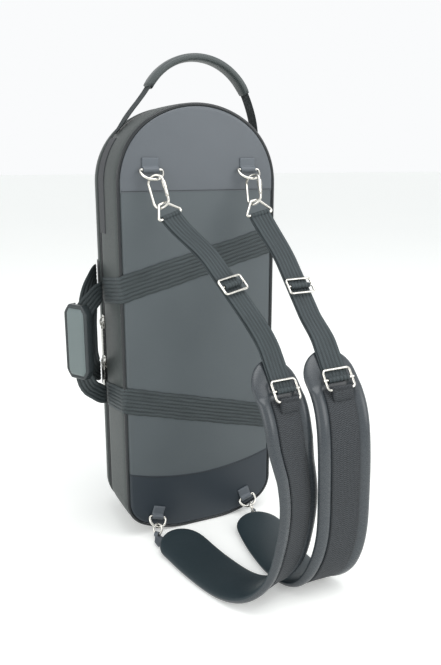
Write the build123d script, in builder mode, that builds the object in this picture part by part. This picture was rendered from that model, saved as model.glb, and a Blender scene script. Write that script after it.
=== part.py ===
from build123d import *
from math import asin, atan2, cos, degrees, radians, sin, sqrt
import os

# Soft-sided trumpet case worn on the back by two padded straps.  Millimetres.
# The origin is the centre of the flat bottom, +Z is up, -Y is the back panel that carries the
# straps, +Y is the lid, +X is the cloth hinge and -X is the zip with the side carry handle.

os.makedirs("parts", exist_ok=True)

# --- Case body ---------------------------------------------------------------------------------
case_width = 230.0
case_height = 600.0
shell_depth = 85.0
lid_depth = 55.0
crown_overhang = 13.0
shoulder_x = 15.0
bottom_flat = 48.0
bottom_radius = 150.0
corner_radius = 42.0
wall = 8.0
panel_sink = 0.8
piping_diameter = 4.6
zip_tape_width = 6.0
zip_tape_thickness = 2.0
zip_tape_inset = 1.4
closing_gap = 0.4
seat_gap = 0.3
front_inset = 34.0
lid_front_wall = 7.0
lining_thickness = 4.0
insert_recess_below_rim = 10.0

back_y = -(shell_depth + lid_depth) / 2
parting_y = back_y + shell_depth
front_y = parting_y + lid_depth
side_x = case_width / 2

# Centres of the three arcs of the arch and of the two arcs of each bottom corner.
crown_radius = side_x + crown_overhang
shoulder_radius = side_x - shoulder_x
crown_z = case_height - crown_radius
spring_z = crown_z + sqrt((crown_radius - shoulder_radius) ** 2 - shoulder_x**2)
shoulder_sweep = degrees(atan2(spring_z - crown_z, shoulder_x))
corner_x = side_x - corner_radius
corner_run = corner_x - bottom_flat / 2
corner_z = bottom_radius - sqrt((bottom_radius - corner_radius) ** 2 - corner_run**2)
bottom_sweep = degrees(asin(corner_run / (bottom_radius - corner_radius)))


def upright(y):
    """Plane across the case at depth y: sketch x is X, sketch y is Z, and it faces the back."""
    return Plane.XZ.offset(-y)


def draw_outline(inset):
    """Arched outline of the case, moved inwards by inset, in the open BuildLine."""
    Line((0, inset), (bottom_flat / 2, inset))
    CenterArc((bottom_flat / 2, bottom_radius), bottom_radius - inset, -90, bottom_sweep)
    CenterArc((corner_x, corner_z), corner_radius - inset, bottom_sweep - 90, 90 - bottom_sweep)
    Line((side_x - inset, corner_z), (side_x - inset, spring_z))
    CenterArc((shoulder_x, spring_z), shoulder_radius - inset, 0, shoulder_sweep)
    CenterArc((0, crown_z), crown_radius - inset, shoulder_sweep, 90 - shoulder_sweep)
    mirror(about=Plane.YZ)


def outline_face(inset, mode=Mode.ADD):
    """Filled outline in the open BuildSketch."""
    with BuildLine() as outline:
        draw_outline(inset)
    make_face(outline.line.edges(), mode=mode)


def save(builder, node):
    """Label the finished piece and write its STEP file."""
    builder.part.label = node
    export_step(builder.part, f"parts/{node}.step")


def outline_ring(node, y_start, depth, outer_inset, inner_inset):
    """A ring that follows the outline, from y_start towards the lid."""
    with BuildPart() as ring:
        with BuildSketch(upright(y_start)):
            outline_face(outer_inset)
            outline_face(inner_inset, Mode.SUBTRACT)
        extrude(amount=-depth)
    save(ring, node)


# --- Shell: side wall, back panel and its leather yokes, piping ---------------------------------
wall_start_y = back_y + piping_diameter
tape_start_y = parting_y - closing_gap / 2 - zip_tape_width
outline_ring("side_wall", wall_start_y, tape_start_y - wall_start_y, 0, wall)
outline_ring(
    "shell_zip_tape", tape_start_y, zip_tape_width, zip_tape_inset, zip_tape_inset + zip_tape_thickness
)

with BuildPart() as back_panel:
    with BuildSketch(upright(back_y + panel_sink)):
        outline_face(piping_diameter)
    extrude(amount=-(piping_diameter - panel_sink))
save(back_panel, "back_panel")

with BuildPart() as back_piping:
    piping_inset = piping_diameter / 2
    with BuildLine(upright(back_y + piping_inset)) as piping_path:
        draw_outline(piping_inset)
    with BuildSketch(Plane(piping_path.line @ 0, z_dir=piping_path.line % 0)):
        Circle(piping_diameter / 2)
    sweep()
save(back_piping, "back_piping")

top_yoke_z = 486.0
bottom_yoke_side_z = 101.0
bottom_yoke_middle_z = 83.0
with BuildPart() as top_yoke:
    with BuildSketch(upright(back_y)):
        outline_face(piping_diameter)
        with Locations((0, top_yoke_z / 2)):
            Rectangle(case_width, top_yoke_z, mode=Mode.SUBTRACT)
    extrude(amount=-panel_sink)
save(top_yoke, "top_yoke")

with BuildPart() as bottom_yoke:
    with BuildSketch(upright(back_y)):
        outline_face(piping_diameter)
        with BuildLine():
            smile = ThreePointArc(
                (-side_x, bottom_yoke_side_z), (0, bottom_yoke_middle_z), (side_x, bottom_yoke_side_z)
            )
            Polyline(smile @ 1, (side_x, case_height), (-side_x, case_height), smile @ 0)
        make_face(mode=Mode.SUBTRACT)
    extrude(amount=-panel_sink)
save(bottom_yoke, "bottom_yoke")

# --- Webbing sewn round the shell, whose ends become the carry handle ---------------------------
band_width = 36.0
band_proud = 1.6
band_middle_z = 285.0
band_spread = 105.5
band_slope = 14.3
band_root_y = 6.0
band_root_drop = 12.0
band_hinge_side_y = back_y + 34.0


def wrap_band(node, side_sign):
    """One slanting band: flat on the back panel, then round both long edges on to the side wall."""
    middle_z = band_middle_z + side_sign * band_spread
    slope = side_sign * band_slope
    rise = sin(radians(slope)) / cos(radians(slope))
    with BuildPart() as band:
        with BuildSketch(upright(back_y - band_proud)):
            with Locations(Location((0, middle_z), slope)):
                Rectangle(case_width * 1.2, band_width)
            with Locations((0, case_height / 2)):
                Rectangle(case_width + 2 * band_proud, case_height, mode=Mode.INTERSECT)
        extrude(amount=-band_proud)
        with BuildSketch(upright(back_y)):
            with Locations(Location((0, middle_z), slope)):
                Rectangle(case_width * 1.2, band_width)
            outline_face(piping_diameter + seat_gap, Mode.INTERSECT)
        extrude(amount=-panel_sink)
        for side, end_y in ((-1, band_root_y), (1, band_hinge_side_y)):
            edge_z = middle_z + side * side_x * rise
            end_z = edge_z - band_root_drop if side < 0 else edge_z
            half = band_width / 2 / cos(radians(slope))
            with BuildSketch(Plane.YZ.offset(side * side_x)):
                with BuildLine():
                    Polyline(
                        (back_y - band_proud, edge_z - half),
                        (end_y, end_z - half),
                        (end_y, end_z + half),
                        (back_y - band_proud, edge_z + half),
                        close=True,
                    )
                make_face()
            extrude(amount=side * band_proud)
    save(band, node)


wrap_band("upper_band", 1)
wrap_band("lower_band", -1)


# --- Moulded insert: a plush-covered block with the bays for the instrument and its accessories --
insert_front_y = parting_y - insert_recess_below_rim
bay_depth = 58.0
bay_corner = 24.0
bell_x = -24.0
bell_bottom_z = 62.0
bell_width = 132.0
bell_length = 150.0
body_bay_width = 118.0
body_bay_top_z = 455.0
leadpipe_bay_width = 34.0
leadpipe_bay_top_z = 548.0
accessory_bay_width = 46.0
accessory_bay_x = 72.0
accessory_bay_bottom_z = 96.0
accessory_bay_top_z = 452.0
accessory_bay_depth = 48.0
saddle_height = 26.0
saddle_length = 30.0
bell_saddle_z = 236.0
valve_saddle_z = 392.0
saddle_notch_width = 52.0
saddle_notch_depth = 14.0
cradle_length = 74.0
cradle_notch_radius = 9.0
cradle_height = 30.0

with BuildPart() as shell_insert:
    with BuildSketch(upright(wall_start_y)):
        outline_face(wall)
    extrude(amount=-(insert_front_y - wall_start_y))
    with BuildSketch(upright(insert_front_y)) as bay_plan:
        with BuildLine():
            Polyline(
                (bell_x - bell_width / 2, bell_bottom_z),
                (bell_x + bell_width / 2, bell_bottom_z),
                (bell_x + body_bay_width / 2, bell_bottom_z + bell_length),
                (bell_x + body_bay_width / 2, body_bay_top_z),
                (bell_x - body_bay_width / 2, body_bay_top_z),
                (bell_x - body_bay_width / 2, bell_bottom_z + bell_length),
                close=True,
            )
        make_face()
        fillet(bay_plan.vertices().group_by(Axis.Y)[0] + bay_plan.vertices().group_by(Axis.Y)[-1], bay_corner)
    extrude(amount=bay_depth, mode=Mode.SUBTRACT)
    leadpipe_bay_length = leadpipe_bay_top_z - body_bay_top_z + bay_corner
    with BuildSketch(upright(insert_front_y)):
        with Locations((bell_x, leadpipe_bay_top_z - leadpipe_bay_length / 2)):
            SlotOverall(leadpipe_bay_length + leadpipe_bay_width / 2, leadpipe_bay_width, rotation=90)
    extrude(amount=bay_depth, mode=Mode.SUBTRACT)
    with BuildSketch(upright(insert_front_y)):
        with Locations((accessory_bay_x, (accessory_bay_bottom_z + accessory_bay_top_z) / 2)):
            RectangleRounded(accessory_bay_width, accessory_bay_top_z - accessory_bay_bottom_z, 8)
    extrude(amount=accessory_bay_depth, mode=Mode.SUBTRACT)
save(shell_insert, "shell_insert")

bay_floor_y = insert_front_y - bay_depth
with BuildPart() as instrument_saddles:
    for saddle_z in (bell_saddle_z, valve_saddle_z):
        with BuildSketch(Plane.XY.offset(saddle_z - saddle_length / 2)):
            with Locations((bell_x, bay_floor_y + saddle_height / 2)):
                Rectangle(body_bay_width, saddle_height)
            with Locations((bell_x, bay_floor_y + saddle_height)):
                SlotOverall(saddle_notch_width, 2 * saddle_notch_depth, mode=Mode.SUBTRACT)
        extrude(amount=saddle_length)
save(instrument_saddles, "instrument_saddles")

cradle_floor_y = insert_front_y - accessory_bay_depth
with BuildPart() as mouthpiece_cradle:
    with BuildSketch(Plane.XY.offset(accessory_bay_bottom_z + seat_gap)):
        with Locations((accessory_bay_x, cradle_floor_y + cradle_height / 2)):
            Rectangle(accessory_bay_width - 2 * seat_gap, cradle_height)
        for side in (-1, 1):
            notch_x = accessory_bay_x + side * accessory_bay_width / 4
            with Locations((notch_x, cradle_floor_y + cradle_height)):
                Circle(cradle_notch_radius, mode=Mode.SUBTRACT)
    extrude(amount=cradle_length)
    edge_band = mouthpiece_cradle.edges().filter_by(Axis.Y).group_by(Axis.Z)[0]
    fillet(edge_band, 8)
save(mouthpiece_cradle, "mouthpiece_cradle")

# --- Lid: domed shell, lining, zip tape ---------------------------------------------------------
# The dome's wall leans in along a quarter ellipse; each station is a share of the lid's depth.
dome_stations = (0.0, 0.35, 0.6, 0.8, 0.93, 1.0)
lid_rim_y = parting_y + closing_gap / 2 + zip_tape_width


def dome_inset(share, rim_inset, top_inset):
    """How far the dome's wall has leant in at this share of its depth."""
    return rim_inset + (top_inset - rim_inset) * (1 - sqrt(1 - share**2))


def dome_sections(y_top, rim_inset, top_inset):
    """Sections of a dome from the lid's rim to y_top."""
    sections = []
    for share in dome_stations:
        with BuildSketch(upright(lid_rim_y + share * (y_top - lid_rim_y))) as section:
            outline_face(dome_inset(share, rim_inset, top_inset))
        sections.append(section.sketch)
    return sections


def lid_wall_x(y):
    """Half width of the closed lid at depth y, between two dome stations."""
    share = (y - lid_rim_y) / (front_y - lid_rim_y)
    for low, high in zip(dome_stations, dome_stations[1:]):
        if low <= share <= high:
            part = (share - low) / (high - low)
            inset = dome_inset(low, 0, front_inset) * (1 - part) + dome_inset(high, 0, front_inset) * part
            return side_x - inset
    return side_x


lining_outer_y = front_y - lid_front_wall
with BuildPart() as lid_shell:
    loft(sections=dome_sections(front_y, 0, front_inset), ruled=True)
    loft(sections=dome_sections(lining_outer_y, wall, front_inset), ruled=True, mode=Mode.SUBTRACT)
save(lid_shell, "lid_shell")

with BuildPart() as lid_lining:
    loft(sections=dome_sections(lining_outer_y, wall, front_inset), ruled=True)
    loft(
        sections=dome_sections(lining_outer_y - lining_thickness, wall + lining_thickness, front_inset + 2),
        ruled=True,
        mode=Mode.SUBTRACT,
    )
save(lid_lining, "lid_lining")

outline_ring(
    "lid_zip_tape",
    parting_y + closing_gap / 2,
    zip_tape_width,
    zip_tape_inset,
    zip_tape_inset + zip_tape_thickness,
)

# --- Cloth hinge on the +X side: two leaves that meet at the hinge line --------------------------
hinge_cloth_thickness = 1.2
hinge_cloth_bottom_z = 62.0
hinge_cloth_top_z = 428.0
hinge_leaf_width = 22.0
hinge_x = side_x + hinge_cloth_thickness + closing_gap / 2

with BuildPart() as shell_hinge_cloth:
    with BuildSketch(Plane.XY.offset(hinge_cloth_bottom_z)):
        with Locations((side_x, parting_y - closing_gap / 2)):
            Rectangle(hinge_cloth_thickness, hinge_leaf_width, align=(Align.MIN, Align.MAX))
    extrude(amount=hinge_cloth_top_z - hinge_cloth_bottom_z)
save(shell_hinge_cloth, "shell_hinge_cloth")


def lid_wall_strip(node, side, y_start, y_end, thickness, z_ranges):
    """Cloth laid on the lid's side wall between two depths, over each height range."""
    depths = [y_start] + [y for y in (lid_rim_y, lid_bend_y) if y_start < y < y_end] + [y_end]
    inner = [(side * lid_wall_x(y), y) for y in depths]
    outer = [(side * (lid_wall_x(y) + thickness), y) for y in reversed(depths)]
    with BuildPart() as strip:
        for low_z, high_z in z_ranges:
            with BuildSketch(Plane.XY.offset(low_z)):
                with BuildLine():
                    Polyline(*inner, *outer, close=True)
                make_face()
            extrude(amount=high_z - low_z)
    save(strip, node)


lid_bend_y = lid_rim_y + dome_stations[1] * (front_y - lid_rim_y)
lid_wall_strip(
    "lid_hinge_cloth",
    1,
    parting_y + closing_gap / 2,
    parting_y + hinge_leaf_width,
    hinge_cloth_thickness,
    [(hinge_cloth_bottom_z, hinge_cloth_top_z)],
)

lid_loop_top_z = 370.0
lid_loop_bottom_z = 222.0
lid_loop_root_y = 36.0
patch_height = 36.0
patch_start_y = 24.0
patch_end_y = 48.0
lid_wall_strip(
    "lid_loop_patches",
    -1,
    patch_start_y,
    patch_end_y,
    band_proud,
    [(z - patch_height / 2, z + patch_height / 2) for z in (lid_loop_bottom_z, lid_loop_top_z)],
)

# --- Side webbing that carries the top handle, sewn round both shoulders --------------------------
side_webbing_thickness = 1.6
side_webbing_y = -4.0
side_webbing_width = 24.0
side_webbing_bottom_z = 430.0
left_webbing_drop = 44.0
right_webbing_drop = 85.0
left_webbing_top_z = case_height - left_webbing_drop
right_webbing_top_z = case_height - right_webbing_drop
beyond_side = side_x + 20.0

with BuildPart() as handle_side_webbing:
    with BuildSketch(upright(side_webbing_y - side_webbing_width / 2)):
        outline_face(-side_webbing_thickness)
        outline_face(0, mode=Mode.SUBTRACT)
        with BuildLine() as window:
            Polyline(
                (-beyond_side, side_webbing_bottom_z),
                (beyond_side, side_webbing_bottom_z),
                (beyond_side, right_webbing_top_z),
                (0, right_webbing_top_z),
                (0, left_webbing_top_z),
                (-beyond_side, left_webbing_top_z),
                close=True,
            )
        make_face(mode=Mode.INTERSECT)
    extrude(amount=-side_webbing_width)
save(handle_side_webbing, "handle_side_webbing")


# --- Paths shared by every strap ------------------------------------------------------------------
def across(side, along):
    """The part of a width direction that is square to the strap's own direction."""
    side = Vector(side)
    along = Vector(along).normalized()
    return (side - along * side.dot(along)).normalized()


def cross_plane(centre, side, along):
    """Plane across a strap: x over its width, z along it."""
    return Plane(origin=centre, x_dir=across(side, along), z_dir=along)


def planes_between(start, end, count):
    """Cross planes easing from one plane to another along a smooth path."""
    path = Edge.make_spline([start.origin, end.origin], tangents=[start.z_dir, end.z_dir])
    planes = []
    for step in range(1, count + 1):
        share = step / (count + 1)
        side = start.x_dir * (1 - share) + end.x_dir * share
        planes.append(cross_plane(path.position_at(share), side, path.tangent_at(share)))
    return planes


# --- Top handle: a sewn leather grip on a strap hinged at both shoulders ---------------------------
handle_y = side_webbing_y
knuckle_radius = 2.0
knuckle_clearance = 0.9
knuckle_seat = knuckle_radius + knuckle_clearance
left_root_drop = 38.0
right_root_drop = 78.0
left_root_z = case_height - left_root_drop
right_root_z = case_height - right_root_drop
handle_strap_width = 24.0
handle_strap_thickness = 2.4
gathered_width = 4.0
grip_width = 25.0
grip_thickness = 12.0
grip_left_rise = 23.0
grip_middle_rise = 64.0
grip_right_rise = 19.0
grip_left = (-46.0, case_height + grip_left_rise)
grip_middle = (25.0, case_height + grip_middle_rise)
grip_right = (100.0, case_height + grip_right_rise)


def root_x(z):
    """Half distance to a handle root that rests on the shoulder's curve."""
    reach = shoulder_radius + knuckle_seat
    return shoulder_x + sqrt(reach**2 - (z - spring_z) ** 2)


left_root = Vector(-root_x(left_root_z), handle_y, left_root_z)
right_root = Vector(root_x(right_root_z), handle_y, right_root_z)

with BuildPart() as top_handle_grip:
    with BuildLine(Plane.XZ.offset(-handle_y)) as grip_path:
        ThreePointArc(grip_left, grip_middle, grip_right)
    with BuildSketch(Plane(grip_path.line @ 0, x_dir=(0, 1, 0), z_dir=grip_path.line % 0)):
        RectangleRounded(grip_width, grip_thickness, grip_thickness / 2 - 0.5)
    sweep()
save(top_handle_grip, "top_handle_grip")

grip_start_way = grip_path.line % 0
grip_end_way = grip_path.line % 1
width_way = Vector(0, 1, 0)
left_strap_way = Vector(0.6, 0, 0.8)
right_strap_way = Vector(0.08, 0, 1).normalized()
gather_length = 26.0
left_handle_planes = [
    cross_plane(left_root, width_way, left_strap_way),
    cross_plane(left_root + left_strap_way * gather_length, width_way, left_strap_way),
    cross_plane(grip_path.line @ 0 - grip_start_way * seat_gap, width_way, grip_start_way),
]
right_handle_planes = [
    cross_plane(right_root, width_way, right_strap_way),
    cross_plane(right_root + right_strap_way * gather_length, width_way, right_strap_way),
    cross_plane(grip_path.line @ 1 + grip_end_way * seat_gap, width_way, -grip_end_way),
]

with BuildPart() as top_handle_strap:
    for root, end_planes in ((left_root, left_handle_planes), (right_root, right_handle_planes)):
        root_plane, gather_plane, grip_plane = end_planes
        with BuildSketch(root_plane):
            Rectangle(gathered_width, handle_strap_thickness)
        for plane in [gather_plane] + planes_between(gather_plane, grip_plane, 4) + [grip_plane]:
            with BuildSketch(plane):
                Rectangle(handle_strap_width, handle_strap_thickness)
        loft(ruled=True)
        with Locations(root):
            Sphere(knuckle_radius)
save(top_handle_strap, "top_handle_strap")


# --- Side carry handle: one loop on the shell with the leather grip, one loop on the lid ----------
loop_width = 26.0
loop_thickness = 2.4
loop_knuckle_radius = 2.2
loop_seat = band_proud + seat_gap + loop_knuckle_radius
shell_loop_top_z = band_middle_z + band_spread - side_x * sin(radians(band_slope)) / cos(
    radians(band_slope)
) - band_root_drop
shell_loop_bottom_z = 197.0
shell_loop_y = 2.0
shell_loop_lean = 30.0
shell_loop_reach = 45.0
lid_loop_lean = 57.0
lid_loop_reach = 46.0
loop_flat_top_z = 296.0
loop_flat_bottom_z = 276.0


def side_loop(node, root, lean, reach, top_z, bottom_z):
    """Webbing loop hinged on an upright line at root, leaning from -X towards the back."""
    out = Vector(-cos(radians(lean)), -sin(radians(lean)), 0)
    sideways = Vector(out.Y, -out.X, 0)
    up = Vector(0, 0, 1)

    def at(distance, z):
        return Vector(root[0], root[1], z) + out * distance

    top_root = cross_plane(at(0, top_z), up, out)
    top_turn = cross_plane(at(reach * 0.5, top_z - 12), up + sideways * 0.35, out - up * 0.55)
    top_flat = cross_plane(at(reach, loop_flat_top_z + 8), sideways, up * -1)
    low_flat = cross_plane(at(reach, loop_flat_bottom_z - 8), sideways, up * -1)
    low_turn = cross_plane(at(reach * 0.5, bottom_z + 12), up * -1 + sideways * 0.35, out * -1 - up * 0.55)
    low_root = cross_plane(at(0, bottom_z), up * -1, out * -1)
    key_planes = [top_root, top_turn, top_flat, low_flat, low_turn, low_root]
    with BuildPart() as loop:
        for start, end in zip(key_planes, key_planes[1:]):
            for plane in [start] + planes_between(start, end, 2):
                with BuildSketch(plane):
                    Rectangle(loop_width, loop_thickness)
        with BuildSketch(low_root):
            Rectangle(loop_width, loop_thickness)
        loft(ruled=True)
        for z in (top_z, bottom_z):
            with Locations((root[0], root[1], z)):
                Cylinder(loop_knuckle_radius, loop_width)
    save(loop, node)


shell_loop_root = (-side_x - loop_seat, shell_loop_y)
side_loop(
    "shell_loop", shell_loop_root, shell_loop_lean, shell_loop_reach, shell_loop_top_z, shell_loop_bottom_z
)
lid_loop_root = (-lid_wall_x(lid_loop_root_y) - loop_seat, lid_loop_root_y)
side_loop("lid_loop", lid_loop_root, lid_loop_lean, lid_loop_reach, lid_loop_top_z, lid_loop_bottom_z)

# Grip wrap: a stiff leather panel outside the shell's loop with two flanges that hug its edges.
wrap_width = 42.0
wrap_height = 104.0
wrap_thickness = 8.0
wrap_flange_thickness = 4.0
wrap_flange_depth = 6.0
wrap_corner = 6.0
wrap_middle_z = 286.0
wrap_seat = 1.4
wrap_out = Vector(-cos(radians(shell_loop_lean)), -sin(radians(shell_loop_lean)), 0)
wrap_centre = Vector(*shell_loop_root, wrap_middle_z) + wrap_out * (
    shell_loop_reach + loop_thickness / 2 + wrap_seat
)

with BuildPart() as grip_wrap:
    # Sketch x is up, sketch y is across the panel, and the plane faces outwards.
    with BuildSketch(Plane(origin=wrap_centre, x_dir=(0, 0, 1), z_dir=wrap_out)):
        RectangleRounded(wrap_height, wrap_width, wrap_corner)
    extrude(amount=wrap_thickness)
    with BuildSketch(Plane(origin=wrap_centre, x_dir=(0, 0, 1), z_dir=wrap_out)):
        for side in (-1, 1):
            with Locations((0, side * (wrap_width - wrap_flange_thickness) / 2)):
                Rectangle(wrap_height - 2 * wrap_corner, wrap_flange_thickness)
    extrude(amount=-wrap_flange_depth)
save(grip_wrap, "grip_wrap")

# --- Zip sliders: a plate on the closed zip, a bail over it, and a long pull on the bail -----------
slider_length = 20.0
slider_width = 11.0
slider_thickness = 1.6
slider_gap = 0.4
upper_slider_z = 302.0
lower_slider_z = 242.0
bail_wire = 1.8
bail_half_length = 6.0
bail_height = 4.6
pull_wire = 1.8
pull_ring_width = 8.8
pull_ring_length = 11.0
pull_tab_width = 8.0
pull_tab_length = 40.0
pull_tab_thickness = 1.6
slider_inner_x = -side_x + zip_tape_inset - slider_gap
slider_outer_x = slider_inner_x - slider_thickness
bail_x = slider_outer_x - bail_height
pull_x = slider_outer_x - (bail_height - bail_wire / 2) / 2


def zip_slider(node, z):
    """Slider plate with its bail, centred at height z on the closed zip."""
    with BuildPart() as slider:
        with BuildSketch(Plane(origin=(slider_inner_x, parting_y, z), x_dir=(0, -1, 0), z_dir=(-1, 0, 0))):
            RectangleRounded(slider_width, slider_length, 3)
        extrude(amount=slider_thickness)
        bail_plane = Plane(origin=(slider_outer_x, parting_y, z), x_dir=(0, 0, 1), z_dir=(0, 1, 0))
        with BuildLine(bail_plane) as bail:
            Spline(
                (-bail_half_length, 1),
                (-bail_half_length * 0.8, -bail_height * 0.75),
                (0, -bail_height),
                (bail_half_length * 0.8, -bail_height * 0.75),
                (bail_half_length, 1),
            )
        with BuildSketch(Plane(bail.line @ 0, z_dir=bail.line % 0)):
            Circle(bail_wire / 2)
        sweep()
    save(slider, node)


def zip_pull(node, z):
    """Long pull tab on a wire link that hangs from the slider's bail."""
    side_plane = Plane(origin=(pull_x, parting_y, z), x_dir=(0, -1, 0), z_dir=(-1, 0, 0))
    half_width = (pull_ring_width - pull_wire) / 2
    with BuildPart() as pull:
        with BuildLine(side_plane) as link:
            Polyline(
                (-half_width, 0),
                (half_width, 0),
                (half_width, -pull_ring_length),
                (-half_width, -pull_ring_length),
                close=True,
            )
            fillet(link.vertices(), 1.4)
        with BuildSketch(Plane(link.line @ 0, z_dir=link.line % 0)):
            Circle(pull_wire / 2)
        sweep()
        with BuildSketch(side_plane.offset(-pull_tab_thickness / 2)):
            with Locations((0, -pull_ring_length - pull_tab_length / 2 + pull_wire / 2)):
                RectangleRounded(pull_tab_width, pull_tab_length, 3)
        extrude(amount=pull_tab_thickness)
    save(pull, node)


zip_slider("upper_slider", upper_slider_z)
zip_slider("lower_slider", lower_slider_z)
zip_pull("upper_pull", upper_slider_z)
zip_pull("lower_pull", lower_slider_z)

# --- D-rings: bent wire, held to the yokes by folded leather tabs ----------------------------------
ring_wire = 3.6
ring_bar_y = back_y - 3.6
d_ring_corner = 3.0
upper_ring_half_width = 15.5
upper_ring_x = 70.0
upper_ring_z = 515.0
upper_ring_tilt = 50.0
lower_ring_half_width = 12.5
lower_ring_x = 72.0
lower_ring_z = 27.0
lower_ring_tilt = 45.0
lower_ring_turn = 18.0
tab_bore_radius = ring_wire / 2 + seat_gap
tab_outer_radius = 3.5
tab_tail_length = 15.0
tab_tail_thickness = 2.8
upper_tab_width = 22.0
lower_tab_width = 17.0


def ring_frame(side, bar_x, bar_z, tilt, turn):
    """Plane of a D-ring: origin at its bar, x along the bar, y towards the arc."""
    bar = Vector(cos(radians(turn)), 0, side * sin(radians(turn)))
    down = Vector(side * sin(radians(turn)), 0, -cos(radians(turn)))
    arc_way = down * cos(radians(tilt)) + Vector(0, -1, 0) * sin(radians(tilt))
    return Plane(origin=(side * bar_x, ring_bar_y, bar_z), x_dir=bar, z_dir=bar.cross(arc_way))


def wire_along(path, wire):
    """Round wire swept along the path, in the open BuildPart."""
    with BuildSketch(Plane(path @ 0, z_dir=path % 0)) as section:
        Circle(wire / 2)
    sweep(section.sketch, path=path)


def d_ring(node, frame, half_width):
    """D of round wire: straight bar, two tight corners and a half circle."""
    corner = d_ring_corner
    slack = corner * (1 - cos(radians(45)))
    with BuildPart() as ring:
        with BuildLine(frame) as path:
            Line((-half_width + corner, 0), (half_width - corner, 0))
            ThreePointArc((half_width - corner, 0), (half_width - slack, slack), (half_width, corner))
            ThreePointArc((half_width, corner), (0, half_width + corner), (-half_width, corner))
            ThreePointArc((-half_width, corner), (slack - half_width, slack), (corner - half_width, 0))
        wire_along(path.line, ring_wire)
    save(ring, node)


def ring_tabs(node, frames, width):
    """Leather tab folded round each bar, with its tail sewn up the yoke."""
    with BuildPart() as tabs:
        for frame in frames:
            start = frame.origin - frame.x_dir * width / 2
            side_view = Plane(origin=start, x_dir=(0, -1, 0), z_dir=frame.x_dir)
            tail_middle = tab_tail_thickness / 2 - (back_y - ring_bar_y) + 2 * seat_gap / 3
            with BuildSketch(side_view) as fold:
                Circle(tab_outer_radius)
                with Locations((tail_middle, -tab_tail_length / 2)):
                    Rectangle(tab_tail_thickness, tab_tail_length)
                Circle(tab_bore_radius, mode=Mode.SUBTRACT)
            extrude(fold.sketch, amount=width)
    save(tabs, node)


left_upper_frame = ring_frame(-1, upper_ring_x, upper_ring_z, upper_ring_tilt, 0)
right_upper_frame = ring_frame(1, upper_ring_x, upper_ring_z, upper_ring_tilt, 0)
left_lower_frame = ring_frame(-1, lower_ring_x, lower_ring_z, lower_ring_tilt, lower_ring_turn)
right_lower_frame = ring_frame(1, lower_ring_x, lower_ring_z, lower_ring_tilt, lower_ring_turn)
d_ring("left_upper_d_ring", left_upper_frame, upper_ring_half_width)
d_ring("right_upper_d_ring", right_upper_frame, upper_ring_half_width)
d_ring("left_lower_d_ring", left_lower_frame, lower_ring_half_width)
d_ring("right_lower_d_ring", right_lower_frame, lower_ring_half_width)
ring_tabs("upper_ring_tabs", (left_upper_frame, right_upper_frame), upper_tab_width)
ring_tabs("lower_ring_tabs", (left_lower_frame, right_lower_frame), lower_tab_width)

# --- Clip at the top of each strap: a wire oval closed by a hinged, sprung gate --------------------
link_slack = 2.0
clip_half_width = 10.0
clip_straight = 13.0
clip_nose_y = 11.0
gate_pivot_y = -9.0
gate_tongue_radius = 2.4
gate_tongue_thickness = 1.8
gate_slot_width = 2.4
gate_slot_radius = 2.9
gate_pin_radius = 0.9
gate_pin_length = 5.4
gate_hole_radius = 1.2
gate_neck_radius = 2.5
gate_barrel_radius = 3.2
gate_barrel_start_y = 0.5
gate_barrel_end_y = 10.3
link_step = ring_wire + link_slack
clip_link_y = clip_half_width + clip_straight - link_step


def clip_body(node, frame):
    """Oval wire body with the flattened tongue and pin the gate turns on."""
    half, straight = clip_half_width, clip_straight
    wire_end_y = gate_pivot_y - gate_tongue_radius - gate_pin_radius
    with BuildPart() as clip:
        with BuildLine(frame) as path:
            Line((half, clip_nose_y), (half, straight))
            ThreePointArc((half, straight), (0, straight + half), (-half, straight))
            Line((-half, straight), (-half, -straight))
            ThreePointArc((-half, -straight), (0, -straight - half), (half, -straight))
            Line((half, -straight), (half, wire_end_y))
        wire_along(path.line, ring_wire)
        with BuildSketch(frame.offset(-gate_tongue_thickness / 2)) as tongue:
            with Locations((half, gate_pivot_y)):
                Circle(gate_tongue_radius)
            with Locations((half, (gate_pivot_y - straight) / 2)):
                Rectangle(ring_wire * 0.8, gate_pivot_y + straight)
        extrude(tongue.sketch, amount=gate_tongue_thickness)
        with BuildSketch(frame.offset(-gate_pin_length / 2)) as pin:
            with Locations((half, gate_pivot_y)):
                Circle(gate_pin_radius)
        extrude(pin.sketch, amount=gate_pin_length)
    save(clip, node)


def clip_gate(node, frame):
    """Gate: a barrel on a forked neck that turns on the body's pin."""
    pivot = frame.from_local_coords((clip_half_width, gate_pivot_y, 0))
    barrel_start = frame.from_local_coords((clip_half_width, gate_barrel_start_y, 0))
    with BuildPart() as gate:
        with Locations(pivot):
            Sphere(gate_neck_radius)
        with BuildSketch(Plane(pivot, z_dir=frame.y_dir)) as neck:
            Circle(gate_neck_radius)
        extrude(neck.sketch, amount=gate_barrel_start_y - gate_pivot_y)
        with BuildSketch(Plane(barrel_start, z_dir=frame.y_dir)) as barrel:
            Circle(gate_barrel_radius)
        extrude(barrel.sketch, amount=gate_barrel_end_y - gate_barrel_start_y)
        with BuildSketch(frame.offset(-gate_slot_width / 2)) as slot:
            with Locations((clip_half_width, gate_pivot_y - gate_slot_radius / 2)):
                Rectangle(3 * gate_neck_radius, gate_slot_radius)
            with Locations((clip_half_width, gate_pivot_y)):
                Circle(gate_slot_radius)
        extrude(slot.sketch, amount=gate_slot_width, mode=Mode.SUBTRACT)
        with BuildSketch(frame.offset(-2 * gate_neck_radius)) as hole:
            with Locations((clip_half_width, gate_pivot_y)):
                Circle(gate_hole_radius)
        extrude(hole.sketch, amount=4 * gate_neck_radius, mode=Mode.SUBTRACT)
    save(gate, node)


# --- Triangle ring between each clip and its webbing -----------------------------------------------
triangle_half_width = 20.5
triangle_apex_half_width = 5.5
triangle_corner = 2.2


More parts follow.
